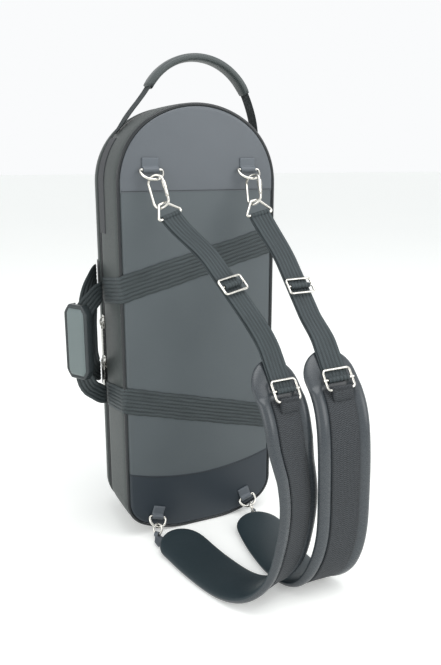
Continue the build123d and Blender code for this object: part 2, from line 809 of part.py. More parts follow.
def triangle_ring(node, frame, height):
    """Rounded triangle of wire: origin at the webbing's bar, y towards the clip."""
    with BuildPart() as ring:
        with BuildLine(frame) as path:
            Polyline(
                (-triangle_half_width, 0),
                (triangle_half_width, 0),
                (triangle_apex_half_width, height),
                (-triangle_apex_half_width, height),
                close=True,
            )
            fillet(path.vertices(), triangle_corner)
        wire_along(path.line, ring_wire)
    save(ring, node)


# --- Strap webbing with its slide adjuster and the loop that joins it to the pad -------------------
webbing_width = 30.0
webbing_thickness = 3.4
webbing_fold_radius = 3.7
glide_wire = 3.0
glide_half_width = 18.0
glide_half_height = 10.0
glide_corner = 3.0
glide_offset = 5.5
glide_fold_radius = 3.5
glide_tail_length = 14.0
glide_tail_thickness = 1.5
glide_run = 36.0
loop_wire = 3.2
loop_half_width = 18.0
loop_half_height = 12.5
loop_corner = 4.0
loop_fold_radius = 3.6
loop_offset = webbing_thickness / 2 + 2.0
loop_run = 46.0
pad_loop_offset = 10.8


def fold_round(centre, along, width, outer_radius):
    """Webbing folded round a bar through centre, in the open BuildPart."""
    with BuildSketch(Plane(centre - along * width / 2, z_dir=along)) as fold:
        Circle(outer_radius)
    extrude(fold.sketch, amount=width)


def bore_round(centre, along, width, bore_radius):
    """Clear the way of a bar through centre, in the open BuildPart."""
    with BuildSketch(Plane(centre - along * width, z_dir=along)) as bore:
        Circle(bore_radius)
    extrude(bore.sketch, amount=2 * width, mode=Mode.SUBTRACT)


def strap_webbing(node, ring_plane, glide_plane, loop_plane):
    """Webbing from the triangle ring's bar, past the adjuster, to the loop's cross bar."""
    glide_way = glide_plane.z_dir * glide_run
    glide_start = Plane(glide_plane.origin - glide_way, glide_plane.x_dir, glide_plane.z_dir)
    glide_end = Plane(glide_plane.origin + glide_way, glide_plane.x_dir, glide_plane.z_dir)
    loop_start = Plane(
        loop_plane.origin - loop_plane.z_dir * loop_run, loop_plane.x_dir, loop_plane.z_dir
    )
    key_planes = [ring_plane, glide_start, glide_end, loop_start, loop_plane]
    easing = [4, 0, 3, 0]
    planes = []
    for start, end, count in zip(key_planes, key_planes[1:], easing):
        planes = planes + [start] + planes_between(start, end, count)
    with BuildPart() as webbing:
        sections = []
        for plane in planes + [loop_plane]:
            with BuildSketch(plane) as section:
                Rectangle(webbing_width, webbing_thickness)
            sections.append(section.sketch)
        loft(sections=sections, ruled=True)
        bar_centre = loop_plane.origin + loop_plane.y_dir * loop_offset
        fold_round(ring_plane.origin, ring_plane.x_dir, webbing_width - 2, webbing_fold_radius)
        fold_round(bar_centre, loop_plane.x_dir, webbing_width - 2, loop_fold_radius)
        bore_round(ring_plane.origin, ring_plane.x_dir, webbing_width, ring_wire / 2 + seat_gap)
        bore_round(bar_centre, loop_plane.x_dir, webbing_width, loop_wire / 2 + seat_gap)
    save(webbing, node)


def tri_glide(node, plane):
    """Slide adjuster: a rounded wire frame with a bar across its middle."""
    face = Plane(plane.origin + plane.y_dir * glide_offset, x_dir=plane.x_dir, z_dir=plane.y_dir)
    with BuildPart() as glide:
        with BuildLine(face) as path:
            Polyline(
                (-glide_half_width, -glide_half_height),
                (glide_half_width, -glide_half_height),
                (glide_half_width, glide_half_height),
                (-glide_half_width, glide_half_height),
                close=True,
            )
            fillet(path.vertices(), glide_corner)
        wire_along(path.line, glide_wire)
        fold_round(face.origin, face.x_dir, 2 * glide_half_width, glide_wire / 2)
    save(glide, node)


def glide_loop(node, plane):
    """Webbing end folded round the adjuster's bar, its tail lying on the strap."""
    centre = plane.origin + plane.y_dir * glide_offset
    fold_width = webbing_width - 2
    side_view = Plane(origin=centre - plane.x_dir * fold_width / 2, x_dir=plane.y_dir, z_dir=plane.x_dir)
    with BuildPart() as fold:
        with BuildSketch(side_view) as profile:
            Circle(glide_fold_radius)
            with Locations((glide_tail_thickness / 2 - glide_fold_radius, -glide_tail_length / 2)):
                Rectangle(glide_tail_thickness, glide_tail_length)
            Circle(glide_wire / 2 + seat_gap, mode=Mode.SUBTRACT)
        extrude(profile.sketch, amount=fold_width)
    save(fold, node)


def pad_loop(node, plane):
    """Rounded wire loop with a cross bar that takes the webbing."""
    face = Plane(plane.origin + plane.y_dir * loop_offset, x_dir=plane.x_dir, z_dir=plane.y_dir)
    lug = 2.5
    with BuildPart() as ring:
        with BuildLine(face) as path:
            Polyline(
                (-loop_half_width, -loop_half_height),
                (loop_half_width, -loop_half_height),
                (loop_half_width, loop_half_height),
                (-loop_half_width, loop_half_height),
                close=True,
            )
            fillet(path.vertices(), loop_corner)
        wire_along(path.line, loop_wire)
        fold_round(face.origin, face.x_dir, 2 * (loop_half_width + lug), loop_wire / 2)
    save(ring, node)


# --- Padded strap: long padded leather with a webbing strip let into its outer face ----------------
pad_width = 70.0
pad_thickness = 10.0
strip_width = 37.0
strip_thickness = 2.0
strip_bottom_margin = 34.0
strip_top_margin = 52.0
strip_tab_width = 26.0
strip_tab_radius = 3.5
pad_seat_shift = 3.0
pad_seat_run = 26.0
pad_top_run = 42.0
pad_top_lean = 7.0


class PadPath:
    """Smooth middle line of a pad, with its width direction at every point."""

    def __init__(self, points, sides):
        self.sides = [Vector(side) for side in sides]
        self.marks = [0.0]
        for here, there in zip(points, points[1:]):
            self.marks.append(self.marks[-1] + (Vector(there) - Vector(here)).length)
        self.length = self.marks[-1]
        self.line = Edge.make_spline([Vector(point) for point in points], parameters=self.marks)

    def plane(self, distance):
        """Cross plane at a distance from the foot: x over the width, y on the inner side."""
        for low, high, first, second in zip(self.marks, self.marks[1:], self.sides, self.sides[1:]):
            if low <= distance <= high:
                share = (distance - low) / (high - low)
                side = first * (1 - share) + second * share
                break
        place = distance / self.length
        return cross_plane(self.line.position_at(place), side, self.line.tangent_at(place))


def pad_distances(path, start, end):
    """The path's own points between two distances, with both ends."""
    return [start] + [mark for mark in path.marks if start + 4 < mark < end - 4] + [end]


def strap_pad(node, path):
    """Padded body with half-round ends, less the channel for its strip."""
    radius = pad_width / 2
    end_steps = [radius * (1 - cos(radians(angle))) for angle in (18, 40, 62)]
    end_widths = [pad_width * sin(radians(angle)) for angle in (18, 40, 62)]
    middle = pad_distances(path, radius, path.length - radius)
    distances = end_steps + middle + [path.length - step for step in reversed(end_steps)]
    widths = end_widths + [pad_width] * len(middle) + list(reversed(end_widths))
    with BuildPart() as pad:
        sections = []
        for distance, width in zip(distances, widths):
            with BuildSketch(path.plane(distance)) as section:
                Rectangle(width, pad_thickness)
            sections.append(section.sketch)
        loft(sections=sections, ruled=True)
        channel = []
        for distance in pad_distances(path, strip_bottom_margin, path.length - strip_top_margin):
            with BuildSketch(path.plane(distance)) as section:
                with Locations((0, (strip_thickness + seat_gap - pad_thickness - 2) / 2)):
                    Rectangle(strip_width + 2 * seat_gap, strip_thickness + seat_gap + 2)
            channel.append(section.sketch)
        loft(sections=channel, ruled=True, mode=Mode.SUBTRACT)
    save(pad, node)


def pad_strip(node, path, loop_plane):
    """Webbing strip in the pad's channel; its top end is folded round the loop's lower bar."""
    face_drop = pad_loop_offset - pad_thickness / 2
    down, out, side = loop_plane.z_dir, loop_plane.y_dir, loop_plane.x_dir
    bar = loop_plane.origin + out * loop_offset + down * loop_half_height
    with BuildPart() as strip:
        sections = []
        start = strip_bottom_margin + seat_gap
        end = path.length - strip_top_margin - seat_gap
        for distance in pad_distances(path, start, end):
            with BuildSketch(path.plane(distance)) as section:
                with Locations((0, (strip_thickness - pad_thickness) / 2)):
                    Rectangle(strip_width, strip_thickness)
            sections.append(section.sketch)
        loft(sections=sections, ruled=True)
        side_view = Plane(origin=bar - side * strip_tab_width / 2, x_dir=down, z_dir=side)
        with BuildSketch(side_view) as tab:
            Circle(strip_tab_radius)
            with BuildLine():
                Polyline(
                    (0, 3.4),
                    (0, face_drop + 0.6),
                    (24, face_drop + 0.6),
                    (24, 4.4),
                    (8, 0.5),
                    close=True,
                )
            make_face()
            Circle(loop_wire / 2 + seat_gap, mode=Mode.SUBTRACT)
        extrude(tab.sketch, amount=strip_tab_width)
    save(strip, node)


# --- Small ring and tab that tie the foot of each pad to its lower D-ring --------------------------
foot_wire = 2.8
foot_ring_radius = 7.5
foot_ring_drop = 2.6
foot_tab_bore = 2.55
foot_tab_radius = 3.7
foot_tab_width = 7.0
foot_tail_width = 18.0
foot_tail_thickness = 1.8
foot_tail_length = 26.0
foot_tail_z = 3.2


def foot_ring(node, frame):
    """Round wire ring hanging in the D-ring; the frame's y points away from it."""
    with BuildPart() as ring:
        with BuildLine(frame) as path:
            CenterArc((0, 0), foot_ring_radius, 0, 360)
        wire_along(path.line, foot_wire)
    save(ring, node)


def foot_tab(node, frame):
    """Tab folded round the small ring, with a tail under the foot of the pad."""
    fold = frame.from_local_coords((0, foot_ring_radius, 0))
    with BuildPart() as tab:
        fold_round(fold, frame.x_dir, foot_tab_width, foot_tab_radius)
        with BuildSketch(Plane.XY.offset(foot_tail_z)) as tail:
            with BuildLine():
                Polyline(
                    (fold.X - foot_tab_width / 2, fold.Y),
                    (fold.X + foot_tab_width / 2, fold.Y),
                    (fold.X + foot_tail_width / 2, fold.Y - foot_tail_length / 2),
                    (fold.X + foot_tail_width / 2, fold.Y - foot_tail_length),
                    (fold.X - foot_tail_width / 2, fold.Y - foot_tail_length),
                    (fold.X - foot_tail_width / 2, fold.Y - foot_tail_length / 2),
                    close=True,
                )
            make_face()
        extrude(tail.sketch, amount=foot_tail_thickness)
        bore_round(fold, frame.x_dir, foot_tab_width, foot_tab_bore)
    save(tab, node)


# --- The two straps --------------------------------------------------------------------------------
def strap(name, upper_frame, lower_frame, clip_way, clip_side, ring_centre, ring_side, glide, loop, foot):
    """One complete strap, from its clip in the upper D-ring to its foot in the lower one."""
    link_point = upper_frame.from_local_coords((0, upper_ring_half_width + d_ring_corner, 0))
    clip_centre = link_point - clip_way * clip_link_y
    clip_across = across(clip_side, clip_way)
    clip_frame = Plane(clip_centre, x_dir=clip_across, z_dir=clip_across.cross(clip_way))
    clip_body(f"{name}_clip", clip_frame)
    clip_gate(f"{name}_clip_gate", clip_frame)
    apex = clip_centre - clip_way * clip_link_y
    height = (apex - ring_centre).length
    ring_way = (apex - ring_centre).normalized()
    ring_across = across(ring_side, ring_way)
    triangle_ring(
        f"{name}_triangle_ring",
        Plane(ring_centre, x_dir=ring_across, z_dir=ring_across.cross(ring_way)),
        height,
    )
    strap_webbing(f"{name}_webbing", cross_plane(ring_centre, ring_side, -ring_way), glide, loop)
    tri_glide(f"{name}_tri_glide", glide)
    glide_loop(f"{name}_glide_loop", glide)
    pad_loop(f"{name}_pad_loop", loop)
    foot_point = lower_frame.from_local_coords((0, lower_ring_half_width + d_ring_corner, 0))
    foot_centre = foot_point + foot[0].normalized() * foot_ring_drop
    foot_side = across(foot[1], foot[0])
    foot_frame = Plane(foot_centre, x_dir=foot_side, z_dir=foot_side.cross(foot[0]))
    foot_ring(f"{name}_foot_ring", foot_frame)
    foot_tab(f"{name}_foot_tab", foot_frame)


left_clip_way = Vector(-0.054, 0.541, 0.838).normalized()
left_clip_side = Vector(1, -1, 0)
left_ring_centre = Vector(-60, -116, 459.5)
left_ring_side = Vector(1, 0.1, 0)
left_glide = cross_plane((-17.7, -200, 379.3), (0.98, 0.2, 0), (0.30, -0.62, -0.72))
left_up_way = Vector(-0.06, 0.55, 0.83).normalized()
left_loop = cross_plane((15, -274, 266), (0.95, 0.22, 0.05), -left_up_way)
left_foot = (Vector(-0.25, -0.30, -0.92), Vector(-0.45, 0.9, 0))
strap(
    "left",
    left_upper_frame,
    left_lower_frame,
    left_clip_way,
    left_clip_side,
    left_ring_centre,
    left_ring_side,
    left_glide,
    left_loop,
    left_foot,
)

right_clip_way = Vector(0.2, 0.55, 0.81).normalized()
right_clip_side = Vector(0.42, -0.906, 0)
right_ring_centre = Vector(66, -117, 458)
right_ring_side = Vector(1, -0.1, 0)
right_glide = cross_plane((79.5, -196, 370), (0.99, 0.05, 0), (0.04, -0.66, -0.75))
right_up_way = Vector(0.0, 0.60, 0.80).normalized()
right_loop = cross_plane((83, -283, 273), (0.985, -0.1, 0), -right_up_way)
right_foot = (Vector(0.25, -0.30, -0.92), Vector(0.45, 0.9, 0))
strap(
    "right",
    right_upper_frame,
    right_lower_frame,
    right_clip_way,
    right_clip_side,
    right_ring_centre,
    right_ring_side,
    right_glide,
    right_loop,
    right_foot,
)

left_seat = (
    left_loop.origin + left_loop.y_dir * (loop_offset - pad_loop_offset) - left_loop.x_dir * pad_seat_shift
)
left_pad_path = PadPath(
    [
        (-67, -100, 13),
        (-57, -125, 8.3),
        (-50, -160, 5.6),
        (-42, -205, 5.6),
        (-30, -245, 6.5),
        (-15.5, -275, 17),
        (3.5, -294, 42),
        (17, -300, 85),
        (22.5, -300, 135),
        (18.5, -298, 175),
        (13.5, -294, 208),
        left_seat - left_up_way * pad_seat_run,
        left_seat,
        left_seat + left_up_way * pad_top_run - left_loop.x_dir * pad_top_lean,
    ],
    [(1, 0.05, 0), (1, 0.06, 0), (0.99, 0.12, 0), (0.98, 0.2, 0), (0.95, 0.3, 0), (0.93, 0.37, 0)]
    + [(0.93, 0.37, 0)] * 4
    + [(0.95, 0.22, 0.05)] * 4,
)
strap_pad("left_pad", left_pad_path)
pad_strip("left_pad_strip", left_pad_path, left_loop)

right_seat = (
    right_loop.origin + right_loop.y_dir * (loop_offset - pad_loop_offset) - right_loop.x_dir * pad_seat_shift
)
right_pad_path = PadPath(
    [
        (72, -100, 13),
        (67, -125, 8.3),
        (60, -160, 5.6),
        (54, -205, 5.6),
        (54, -247, 6.5),
        (61.5, -281, 15),
        (70, -304, 42),
        (77.5, -312, 85),
        (78, -313, 130),
        (76.5, -314, 165),
        (77, -310, 205),
        right_seat - right_up_way * pad_seat_run,
        right_seat,
        right_seat + right_up_way * pad_top_run - right_loop.x_dir * pad_top_lean,
    ],
    [(0.98, -0.2, 0), (0.98, -0.18, 0), (0.985, -0.1, 0), (0.99, 0, 0), (1, 0.1, 0), (1, 0, 0)]
    + [(0.985, -0.1, 0)] * 8,
)
strap_pad("right_pad", right_pad_path)
pad_strip("right_pad_strip", right_pad_path, right_loop)
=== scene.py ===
from math import asin, atan2, copysign, cos, pi, radians, sin, sqrt, tan

import bmesh
import bpy
import numpy as np
from mathutils import Matrix, Vector


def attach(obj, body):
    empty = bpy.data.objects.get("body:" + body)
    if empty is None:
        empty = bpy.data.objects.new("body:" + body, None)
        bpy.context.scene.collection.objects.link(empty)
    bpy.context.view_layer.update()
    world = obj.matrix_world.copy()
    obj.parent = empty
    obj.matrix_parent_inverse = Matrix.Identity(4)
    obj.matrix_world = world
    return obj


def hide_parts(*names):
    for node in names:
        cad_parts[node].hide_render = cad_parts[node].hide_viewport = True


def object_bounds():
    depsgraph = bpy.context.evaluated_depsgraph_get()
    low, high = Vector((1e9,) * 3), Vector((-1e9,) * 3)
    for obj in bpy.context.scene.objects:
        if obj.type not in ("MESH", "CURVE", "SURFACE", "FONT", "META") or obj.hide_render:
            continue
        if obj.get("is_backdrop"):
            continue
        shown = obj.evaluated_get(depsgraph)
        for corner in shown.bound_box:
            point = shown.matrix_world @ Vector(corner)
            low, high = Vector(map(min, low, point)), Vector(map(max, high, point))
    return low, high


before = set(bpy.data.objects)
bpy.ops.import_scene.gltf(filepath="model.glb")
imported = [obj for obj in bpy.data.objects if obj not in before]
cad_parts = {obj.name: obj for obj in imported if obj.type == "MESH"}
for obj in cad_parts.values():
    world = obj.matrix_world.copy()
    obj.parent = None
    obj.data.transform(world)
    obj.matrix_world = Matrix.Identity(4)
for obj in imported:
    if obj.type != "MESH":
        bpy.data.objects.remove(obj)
cad_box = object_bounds()
scene = bpy.context.scene


def put(name, data):
    """Object with that name and data, linked into the scene."""
    made = bpy.data.objects.new(name, data)
    scene.collection.objects.link(made)
    return made


def baked(source):
    """Mesh of an object with its modifiers worked out."""
    return bpy.data.meshes.new_from_object(source.evaluated_get(bpy.context.evaluated_depsgraph_get()))


def link_nodes(tree, *links):
    for source, out_name, target, in_name in links:
        tree.links.new(source.outputs[out_name], target.inputs[in_name])


# --- Studio: camera, pale sweep, soft lamps ---
# A plain pale floor that runs back without an edge, one broad soft lamp overhead and two soft
# fills, and a camera half a metre up that looks slightly down on the straps and back panel.
class Wire:
    """A node's output, or a number, that adds Math nodes when it is used in an expression."""

    def __init__(self, tree, socket):
        self.tree = tree
        self.socket = socket

    def math(self, operation, other=None, flip=False):
        node = self.tree.nodes.new("ShaderNodeMath")
        node.operation = operation
        terms = [self] if other is None else ([other, self] if flip else [self, other])
        for slot, term in zip(node.inputs, terms):
            plug(self.tree, slot, term)
        return Wire(self.tree, node.outputs[0])

    def out(self, name):
        return Wire(self.tree, self.socket.node.outputs[name])

    def __add__(self, other):
        return self.math("ADD", other)

    __radd__ = __add__

    def __sub__(self, other):
        return self.math("SUBTRACT", other)

    def __rsub__(self, other):
        return self.math("SUBTRACT", other, flip=True)

    def __mul__(self, other):
        return self.math("MULTIPLY", other)

    __rmul__ = __mul__


def plug(tree, slot, value):
    """Link a wire to a socket, or set a plain value on it."""
    if isinstance(value, Wire):
        tree.links.new(value.socket, slot)
    elif slot.type == "RGBA" and len(value) == 3:
        slot.default_value = (*value, 1.0)
    else:
        slot.default_value = value


class Finish:
    """A material being made: one Principled surface, and a method that adds any other node."""

    def __init__(self, name):
        self.material = bpy.data.materials.new(name)
        self.material.use_nodes = True
        self.tree = self.material.node_tree
        self.surface = self.tree.nodes["Principled BSDF"]

    def add(self, kind, settings=None, sockets=None, out=0):
        node = self.tree.nodes.new(kind)
        for key, value in (settings or {}).items():
            setattr(node, key, value)
        for key, value in (sockets or {}).items():
            plug(self.tree, node.inputs[key], value)
        return Wire(self.tree, node.outputs[out])

    def coords(self):
        return self.add("ShaderNodeTexCoord", out="Object")

    def noise(self, scale, detail):
        sockets = {"Vector": self.coords(), "Scale": scale, "Detail": detail}
        return self.add("ShaderNodeTexNoise", None, sockets)

    def mix(self, share, first, second):
        node = self.tree.nodes.new("ShaderNodeMix")
        node.data_type = "RGBA"
        node.clamp_factor = True
        colours = [socket for socket in node.inputs if socket.type == "RGBA"]
        plug(self.tree, node.inputs["Factor"], share)
        plug(self.tree, colours[0], first)
        plug(self.tree, colours[1], second)
        return Wire(self.tree, [socket for socket in node.outputs if socket.type == "RGBA"][0])

    def bump(self, height, strength, distance):
        sockets = {"Height": height, "Strength": strength, "Distance": distance}
        return self.add("ShaderNodeBump", None, sockets)

    def set(self, **sockets):
        for key, value in sockets.items():
            plug(self.tree, self.surface.inputs[key.replace("_", " ")], value)
        return self.material


def paint(red, green, blue):
    """Linear colour from the 0-255 numbers of a colour picker."""
    levels = (red / 255, green / 255, blue / 255)
    return tuple(v / 12.92 if v <= 0.04045 else ((v + 0.055) / 1.055) ** 2.4 for v in levels)


scene.view_settings.view_transform = "Standard"
camera_data = bpy.data.cameras.new("camera")
camera = put("camera", camera_data)
camera_data.sensor_fit = "VERTICAL"
SENSOR, FOCAL_PIXELS, PIXELS_HIGH = 36.0, 693.2, 665
camera_data.sensor_height = SENSOR
camera_data.lens = FOCAL_PIXELS / PIXELS_HIGH * SENSOR
look = Vector((0.4196, 0.8757, -0.2385)).normalized()
level = Vector((0.9018, -0.4321, 0.0)).normalized()
rise = level.cross(look)
turn = Matrix((level, rise, -look)).transposed()
camera.matrix_world = Matrix.Translation((-0.383, -0.9334, 0.5244)) @ turn.to_4x4()
scene.camera = camera

floor_mesh = bpy.data.meshes.new("floor")
reach = 30.0
floor_mesh.from_pydata(
    [(-reach, -reach, 0), (reach, -reach, 0), (reach, reach, 0), (-reach, reach, 0)], [], [(0, 1, 2, 3)]
)
floor = put("floor", floor_mesh)
pale = Finish("pale_floor")
soft_spots = pale.noise(1.3, 1.0)
pale.set(
    Base_Color=pale.mix(soft_spots, paint(239, 240, 238), paint(243, 244, 241)),
    Roughness=0.75,
    Specular_IOR_Level=0.2,
    Emission_Color=paint(240, 240, 238),
    Emission_Strength=0.32,
)
floor_mesh.materials.append(pale.material)
floor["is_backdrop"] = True

world = bpy.data.worlds.new("studio")
scene.world = world
world.use_nodes = True
sky = world.node_tree
rays = sky.nodes.new("ShaderNodeLightPath")
seen = sky.nodes.new("ShaderNodeMath")
seen.operation = "MAXIMUM"
backdrop = sky.nodes.new("ShaderNodeBackground")
backdrop.inputs["Color"].default_value = (*paint(250, 251, 252), 1)
ambient = sky.nodes["Background"]
ambient.inputs["Color"].default_value = (0.95, 0.98, 1.0, 1)
ambient.inputs["Strength"].default_value = 0.72
blend_sky = sky.nodes.new("ShaderNodeMixShader")
link_nodes(
    sky,
    (rays, "Is Camera Ray", seen, 0),
    (rays, "Is Glossy Ray", seen, 1),
    (seen, 0, blend_sky, "Fac"),
    (ambient, 0, blend_sky, 1),
    (backdrop, 0, blend_sky, 2),
    (blend_sky, 0, sky.nodes["World Output"], "Surface"),
)


def soft_lamp(name, place, aim, size, watts):
    """Square soft box at place, aimed at a point."""
    data = bpy.data.lights.new(name, "AREA")
    data.size = size
    data.energy = watts
    lamp = put(name, data)
    way = (Vector(aim) - Vector(place)).to_track_quat("-Z", "Y")
    lamp.matrix_world = Matrix.Translation(place) @ way.to_matrix().to_4x4()


soft_lamp("overhead", (0.3, -0.7, 2.4), (0, -0.1, 0.3), 1.6, 26)
soft_lamp("front_right", (1.5, -1.9, 1.3), (0, -0.1, 0.3), 1.2, 16)
soft_lamp("front_left", (-2.1, -0.9, 1.1), (0, 0, 0.3), 1.4, 15)


# --- Case wall ---
# The shell's side wall is a foam-cored band covered in grained black leatherette, pulled slightly
# proud between its piping and its rim, so it swells by half a millimetre in the middle.
CASE_WIDTH, CASE_HEIGHT = 0.23, 0.6
BACK_Y, PARTING_Y, FRONT_Y = -0.07, 0.015, 0.07
CROWN_R, SHOULDER_R, BOTTOM_R, CORNER_R, BOTTOM_FLAT = 0.128, 0.1, 0.15, 0.042, 0.048
SIDE_X = CASE_WIDTH / 2
SHOULDER_X = SIDE_X - SHOULDER_R
CROWN_Z = CASE_HEIGHT - CROWN_R
SPRING_Z = CROWN_Z + sqrt((CROWN_R - SHOULDER_R) ** 2 - SHOULDER_X**2)
CORNER_X = SIDE_X - CORNER_R
CORNER_RUN = CORNER_X - BOTTOM_FLAT / 2
CORNER_Z = BOTTOM_R - sqrt((BOTTOM_R - CORNER_R) ** 2 - CORNER_RUN**2)
BOTTOM_SWEEP = asin(CORNER_RUN / (BOTTOM_R - CORNER_R))
SHOULDER_SWEEP = atan2(SPRING_Z - CROWN_Z, SHOULDER_X)


def arc(centre, radius, start, sweep, count):
    angles = [start + sweep * i / count for i in range(count)]
    return [(centre[0] + radius * cos(a), centre[1] + radius * sin(a)) for a in angles]


def outline(inset):
    """Points round the arched outline, moved inwards by inset, from the bottom centre to the right."""
    half = [(BOTTOM_FLAT / 2 * i / 5, inset) for i in range(5)]
    half += arc((BOTTOM_FLAT / 2, BOTTOM_R), BOTTOM_R - inset, -pi / 2, BOTTOM_SWEEP, 14)
    half += arc((CORNER_X, CORNER_Z), CORNER_R - inset, BOTTOM_SWEEP - pi / 2, pi / 2 - BOTTOM_SWEEP, 14)
    half += [(SIDE_X - inset, CORNER_Z + (SPRING_Z - CORNER_Z) * i / 50) for i in range(50)]
    half += arc((SHOULDER_X, SPRING_Z), SHOULDER_R - inset, 0, SHOULDER_SWEEP, 16)
    half += arc((0, CROWN_Z), CROWN_R - inset, SHOULDER_SWEEP, pi / 2 - SHOULDER_SWEEP, 20)
    left = [(-x, z) for x, z in reversed(half[1:])]
    return np.array(half + [(0, CASE_HEIGHT - inset)] + left)


def new_piece(name, verts, faces, merge=True):
    """Mesh object at the origin, with doubled points merged and its faces turned outwards."""
    mesh = bpy.data.meshes.new(name)
    mesh.from_pydata([tuple(map(float, v)) for v in verts], [], [tuple(map(int, f)) for f in faces])
    work = bmesh.new()
    work.from_mesh(mesh)
    if merge:
        bmesh.ops.remove_doubles(work, verts=work.verts, dist=1e-6)
        bmesh.ops.dissolve_degenerate(work, edges=work.edges, dist=1e-7)
    bmesh.ops.recalc_face_normals(work, faces=work.faces)
    work.to_mesh(mesh)
    work.free()
    mesh.shade_smooth()
    piece = put(name, mesh)
    return piece


def loops_mesh(loops, closed_across=False, caps=True):
    """Vertices and quads joining equal loops of points one after another."""
    count, size = len(loops), len(loops[0])
    verts = np.concatenate([np.asarray(loop) for loop in loops])
    faces = []
    for row in range(count if closed_across else count - 1):
        below, above = row * size, (row + 1) % count * size
        for i in range(size):
            j = (i + 1) % size
            faces.append((below + i, below + j, above + j, above + i))
    if caps and not closed_across:
        faces.append(tuple(range(size))[::-1])
        faces.append(tuple(range((count - 1) * size, count * size)))
    return verts, faces


def outline_at(y, inset):
    """The outline moved inwards by inset, at depth y."""
    return [(x, y, z) for x, z in outline(inset)]


def ring_piece(name, stations):
    """A band round the outline: stations are (depth y, inset) going round its cross-section."""
    return new_piece(name, *loops_mesh([outline_at(*at) for at in stations], closed_across=True))


def clad(piece, material, slot, body, *nodes):
    """Finish a piece: its material, the body it rides and the solids it stands for; the slot argument is not
    used.
    """
    piece.data.materials.clear()
    piece.data.materials.append(material)
    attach(piece, body)
    for node in nodes:
        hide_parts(node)


def leather(name, colour, pebble, depth, shine):
    """Grained leatherette: pebbles of the given size, creases between them, and a soft sheen."""
    hide = Finish(name)
    warp = hide.noise(220.0, 2.0)
    cells = hide.add(
        "ShaderNodeTexVoronoi",
        {"feature": "F1", "distance": "EUCLIDEAN"},
        {"Vector": hide.coords(), "Scale": 1.0 / pebble, "Randomness": 1.0},
        out="Distance",
    )
    fine = hide.noise(2.2 / pebble, 3.0)
    grain = (1.0 - cells) * 0.7 + fine * 0.5
    patches = hide.noise(9.0, 3.0)
    dark = tuple(c * 0.78 for c in colour)
    light = tuple(c * 1.12 for c in colour)
    broad = hide.mix(patches, dark, light)
    hide.set(
        Base_Color=hide.mix((1.0 - cells) * 0.35, broad, tuple(c * 1.18 for c in colour)),
        Roughness=shine + (cells - 0.4) * 0.18 + (warp - 0.5) * 0.08,
        Normal=hide.bump(grain, 0.35, depth),
        Specular_IOR_Level=0.42,
    )
    return hide.material


wall_stations = [(-0.0654, 0.0022), (-0.0648, 0.0008), (-0.063, 0.0001), (-0.054, -0.0004)]
wall_stations += [(-0.028, -0.0006), (-0.004, -0.0004), (0.006, 0.0001), (0.008, 0.0006)]
wall_stations += [(0.0088, 0.0014), (0.0088, 0.007), (0.008, 0.0078), (-0.01, 0.008), (-0.0654, 0.008)]
wall_cover = ring_piece("wall_cover", wall_stations)
wall_leather = leather("wall_leatherette", paint(58, 64, 63), 0.0011, 0.00035, 0.5)
clad(wall_cover, wall_leather, "leatherette", "shell", "side_wall")


# --- Back panel ---
# The back is one foam board under grained leatherette, crowned by a couple of millimetres, with a
# smooth leather yoke sewn across its top and another, cut to a shallow smile, across its foot.
PIPING_D = 0.0046
PANEL_Y = BACK_Y + 0.0008
PANEL_CROWN = 0.0022
TOP_YOKE_Z, FOOT_YOKE_SIDE_Z, FOOT_YOKE_MIDDLE_Z = 0.486, 0.101, 0.083
YOKE_THICKNESS = 0.0008


def panel_y(x, z):
    """Depth of the crowned back panel's face."""
    across = max(0.0, 1 - (x / 0.112) ** 2)
    along = max(0.0, 1 - ((z - 0.3) / 0.3) ** 4)
    return PANEL_Y - PANEL_CROWN * across * along


def column_span(x, inset):
    """Lowest and highest z of the outline, moved inwards by inset, at this x."""
    x = abs(x)
    if x <= BOTTOM_FLAT / 2:
        low = inset
    elif x <= BOTTOM_FLAT / 2 + (BOTTOM_R - inset) * sin(BOTTOM_SWEEP):
        low = BOTTOM_R - sqrt((BOTTOM_R - inset) ** 2 - (x - BOTTOM_FLAT / 2) ** 2)
    else:
        low = CORNER_Z - sqrt(max(0.0, (CORNER_R - inset) ** 2 - (x - CORNER_X) ** 2))
    crown_edge = (CROWN_R - inset) * cos(SHOULDER_SWEEP)
    if x <= crown_edge:
        high = CROWN_Z + sqrt((CROWN_R - inset) ** 2 - x**2)
    else:
        high = SPRING_Z + sqrt(max(0.0, (SHOULDER_R - inset) ** 2 - (x - SHOULDER_X) ** 2))
    return low, high


def smile_z(x):
    """Upper edge of the foot yoke, a shallow curve that dips in the middle."""
    return FOOT_YOKE_MIDDLE_Z + (FOOT_YOKE_SIDE_Z - FOOT_YOKE_MIDDLE_Z) * (x / SIDE_X) ** 2


def panel_foot(x):
    return column_span(x, PIPING_D)[0]


def panel_head(x):
    return column_span(x, PIPING_D)[1]


def panel_skin(name, lower, upper, lift, thickness, rows, drop):
    """Closed thin sheet on the panel between two edges, given as functions of x."""
    half, columns, loops = SIDE_X - PIPING_D, 56, []
    for i in range(columns + 1):
        x = -half * cos(pi * i / columns)
        low, high = lower(x), upper(x)
        face, under = [], []
        for j in range(rows + 1):
            z = low + (high - low) * (0.5 - 0.5 * cos(pi * j / rows))
            edge = min(1.0, min(half - abs(x), z - low, high - z) / 0.003)
            y = panel_y(x, z) - lift
            face.append((x, y + drop * (1 - edge) ** 2, z))
            under.append((x, y + thickness, z))
        loops.append(face + under[::-1])
    verts, faces = loops_mesh(loops, caps=False)
    size = 2 * (rows + 1)
    for start in (0, columns * size):
        faces += [(start + j, start + j + 1, start + size - 2 - j, start + size - 1 - j) for j in range(rows)]
    return new_piece(name, verts, faces)


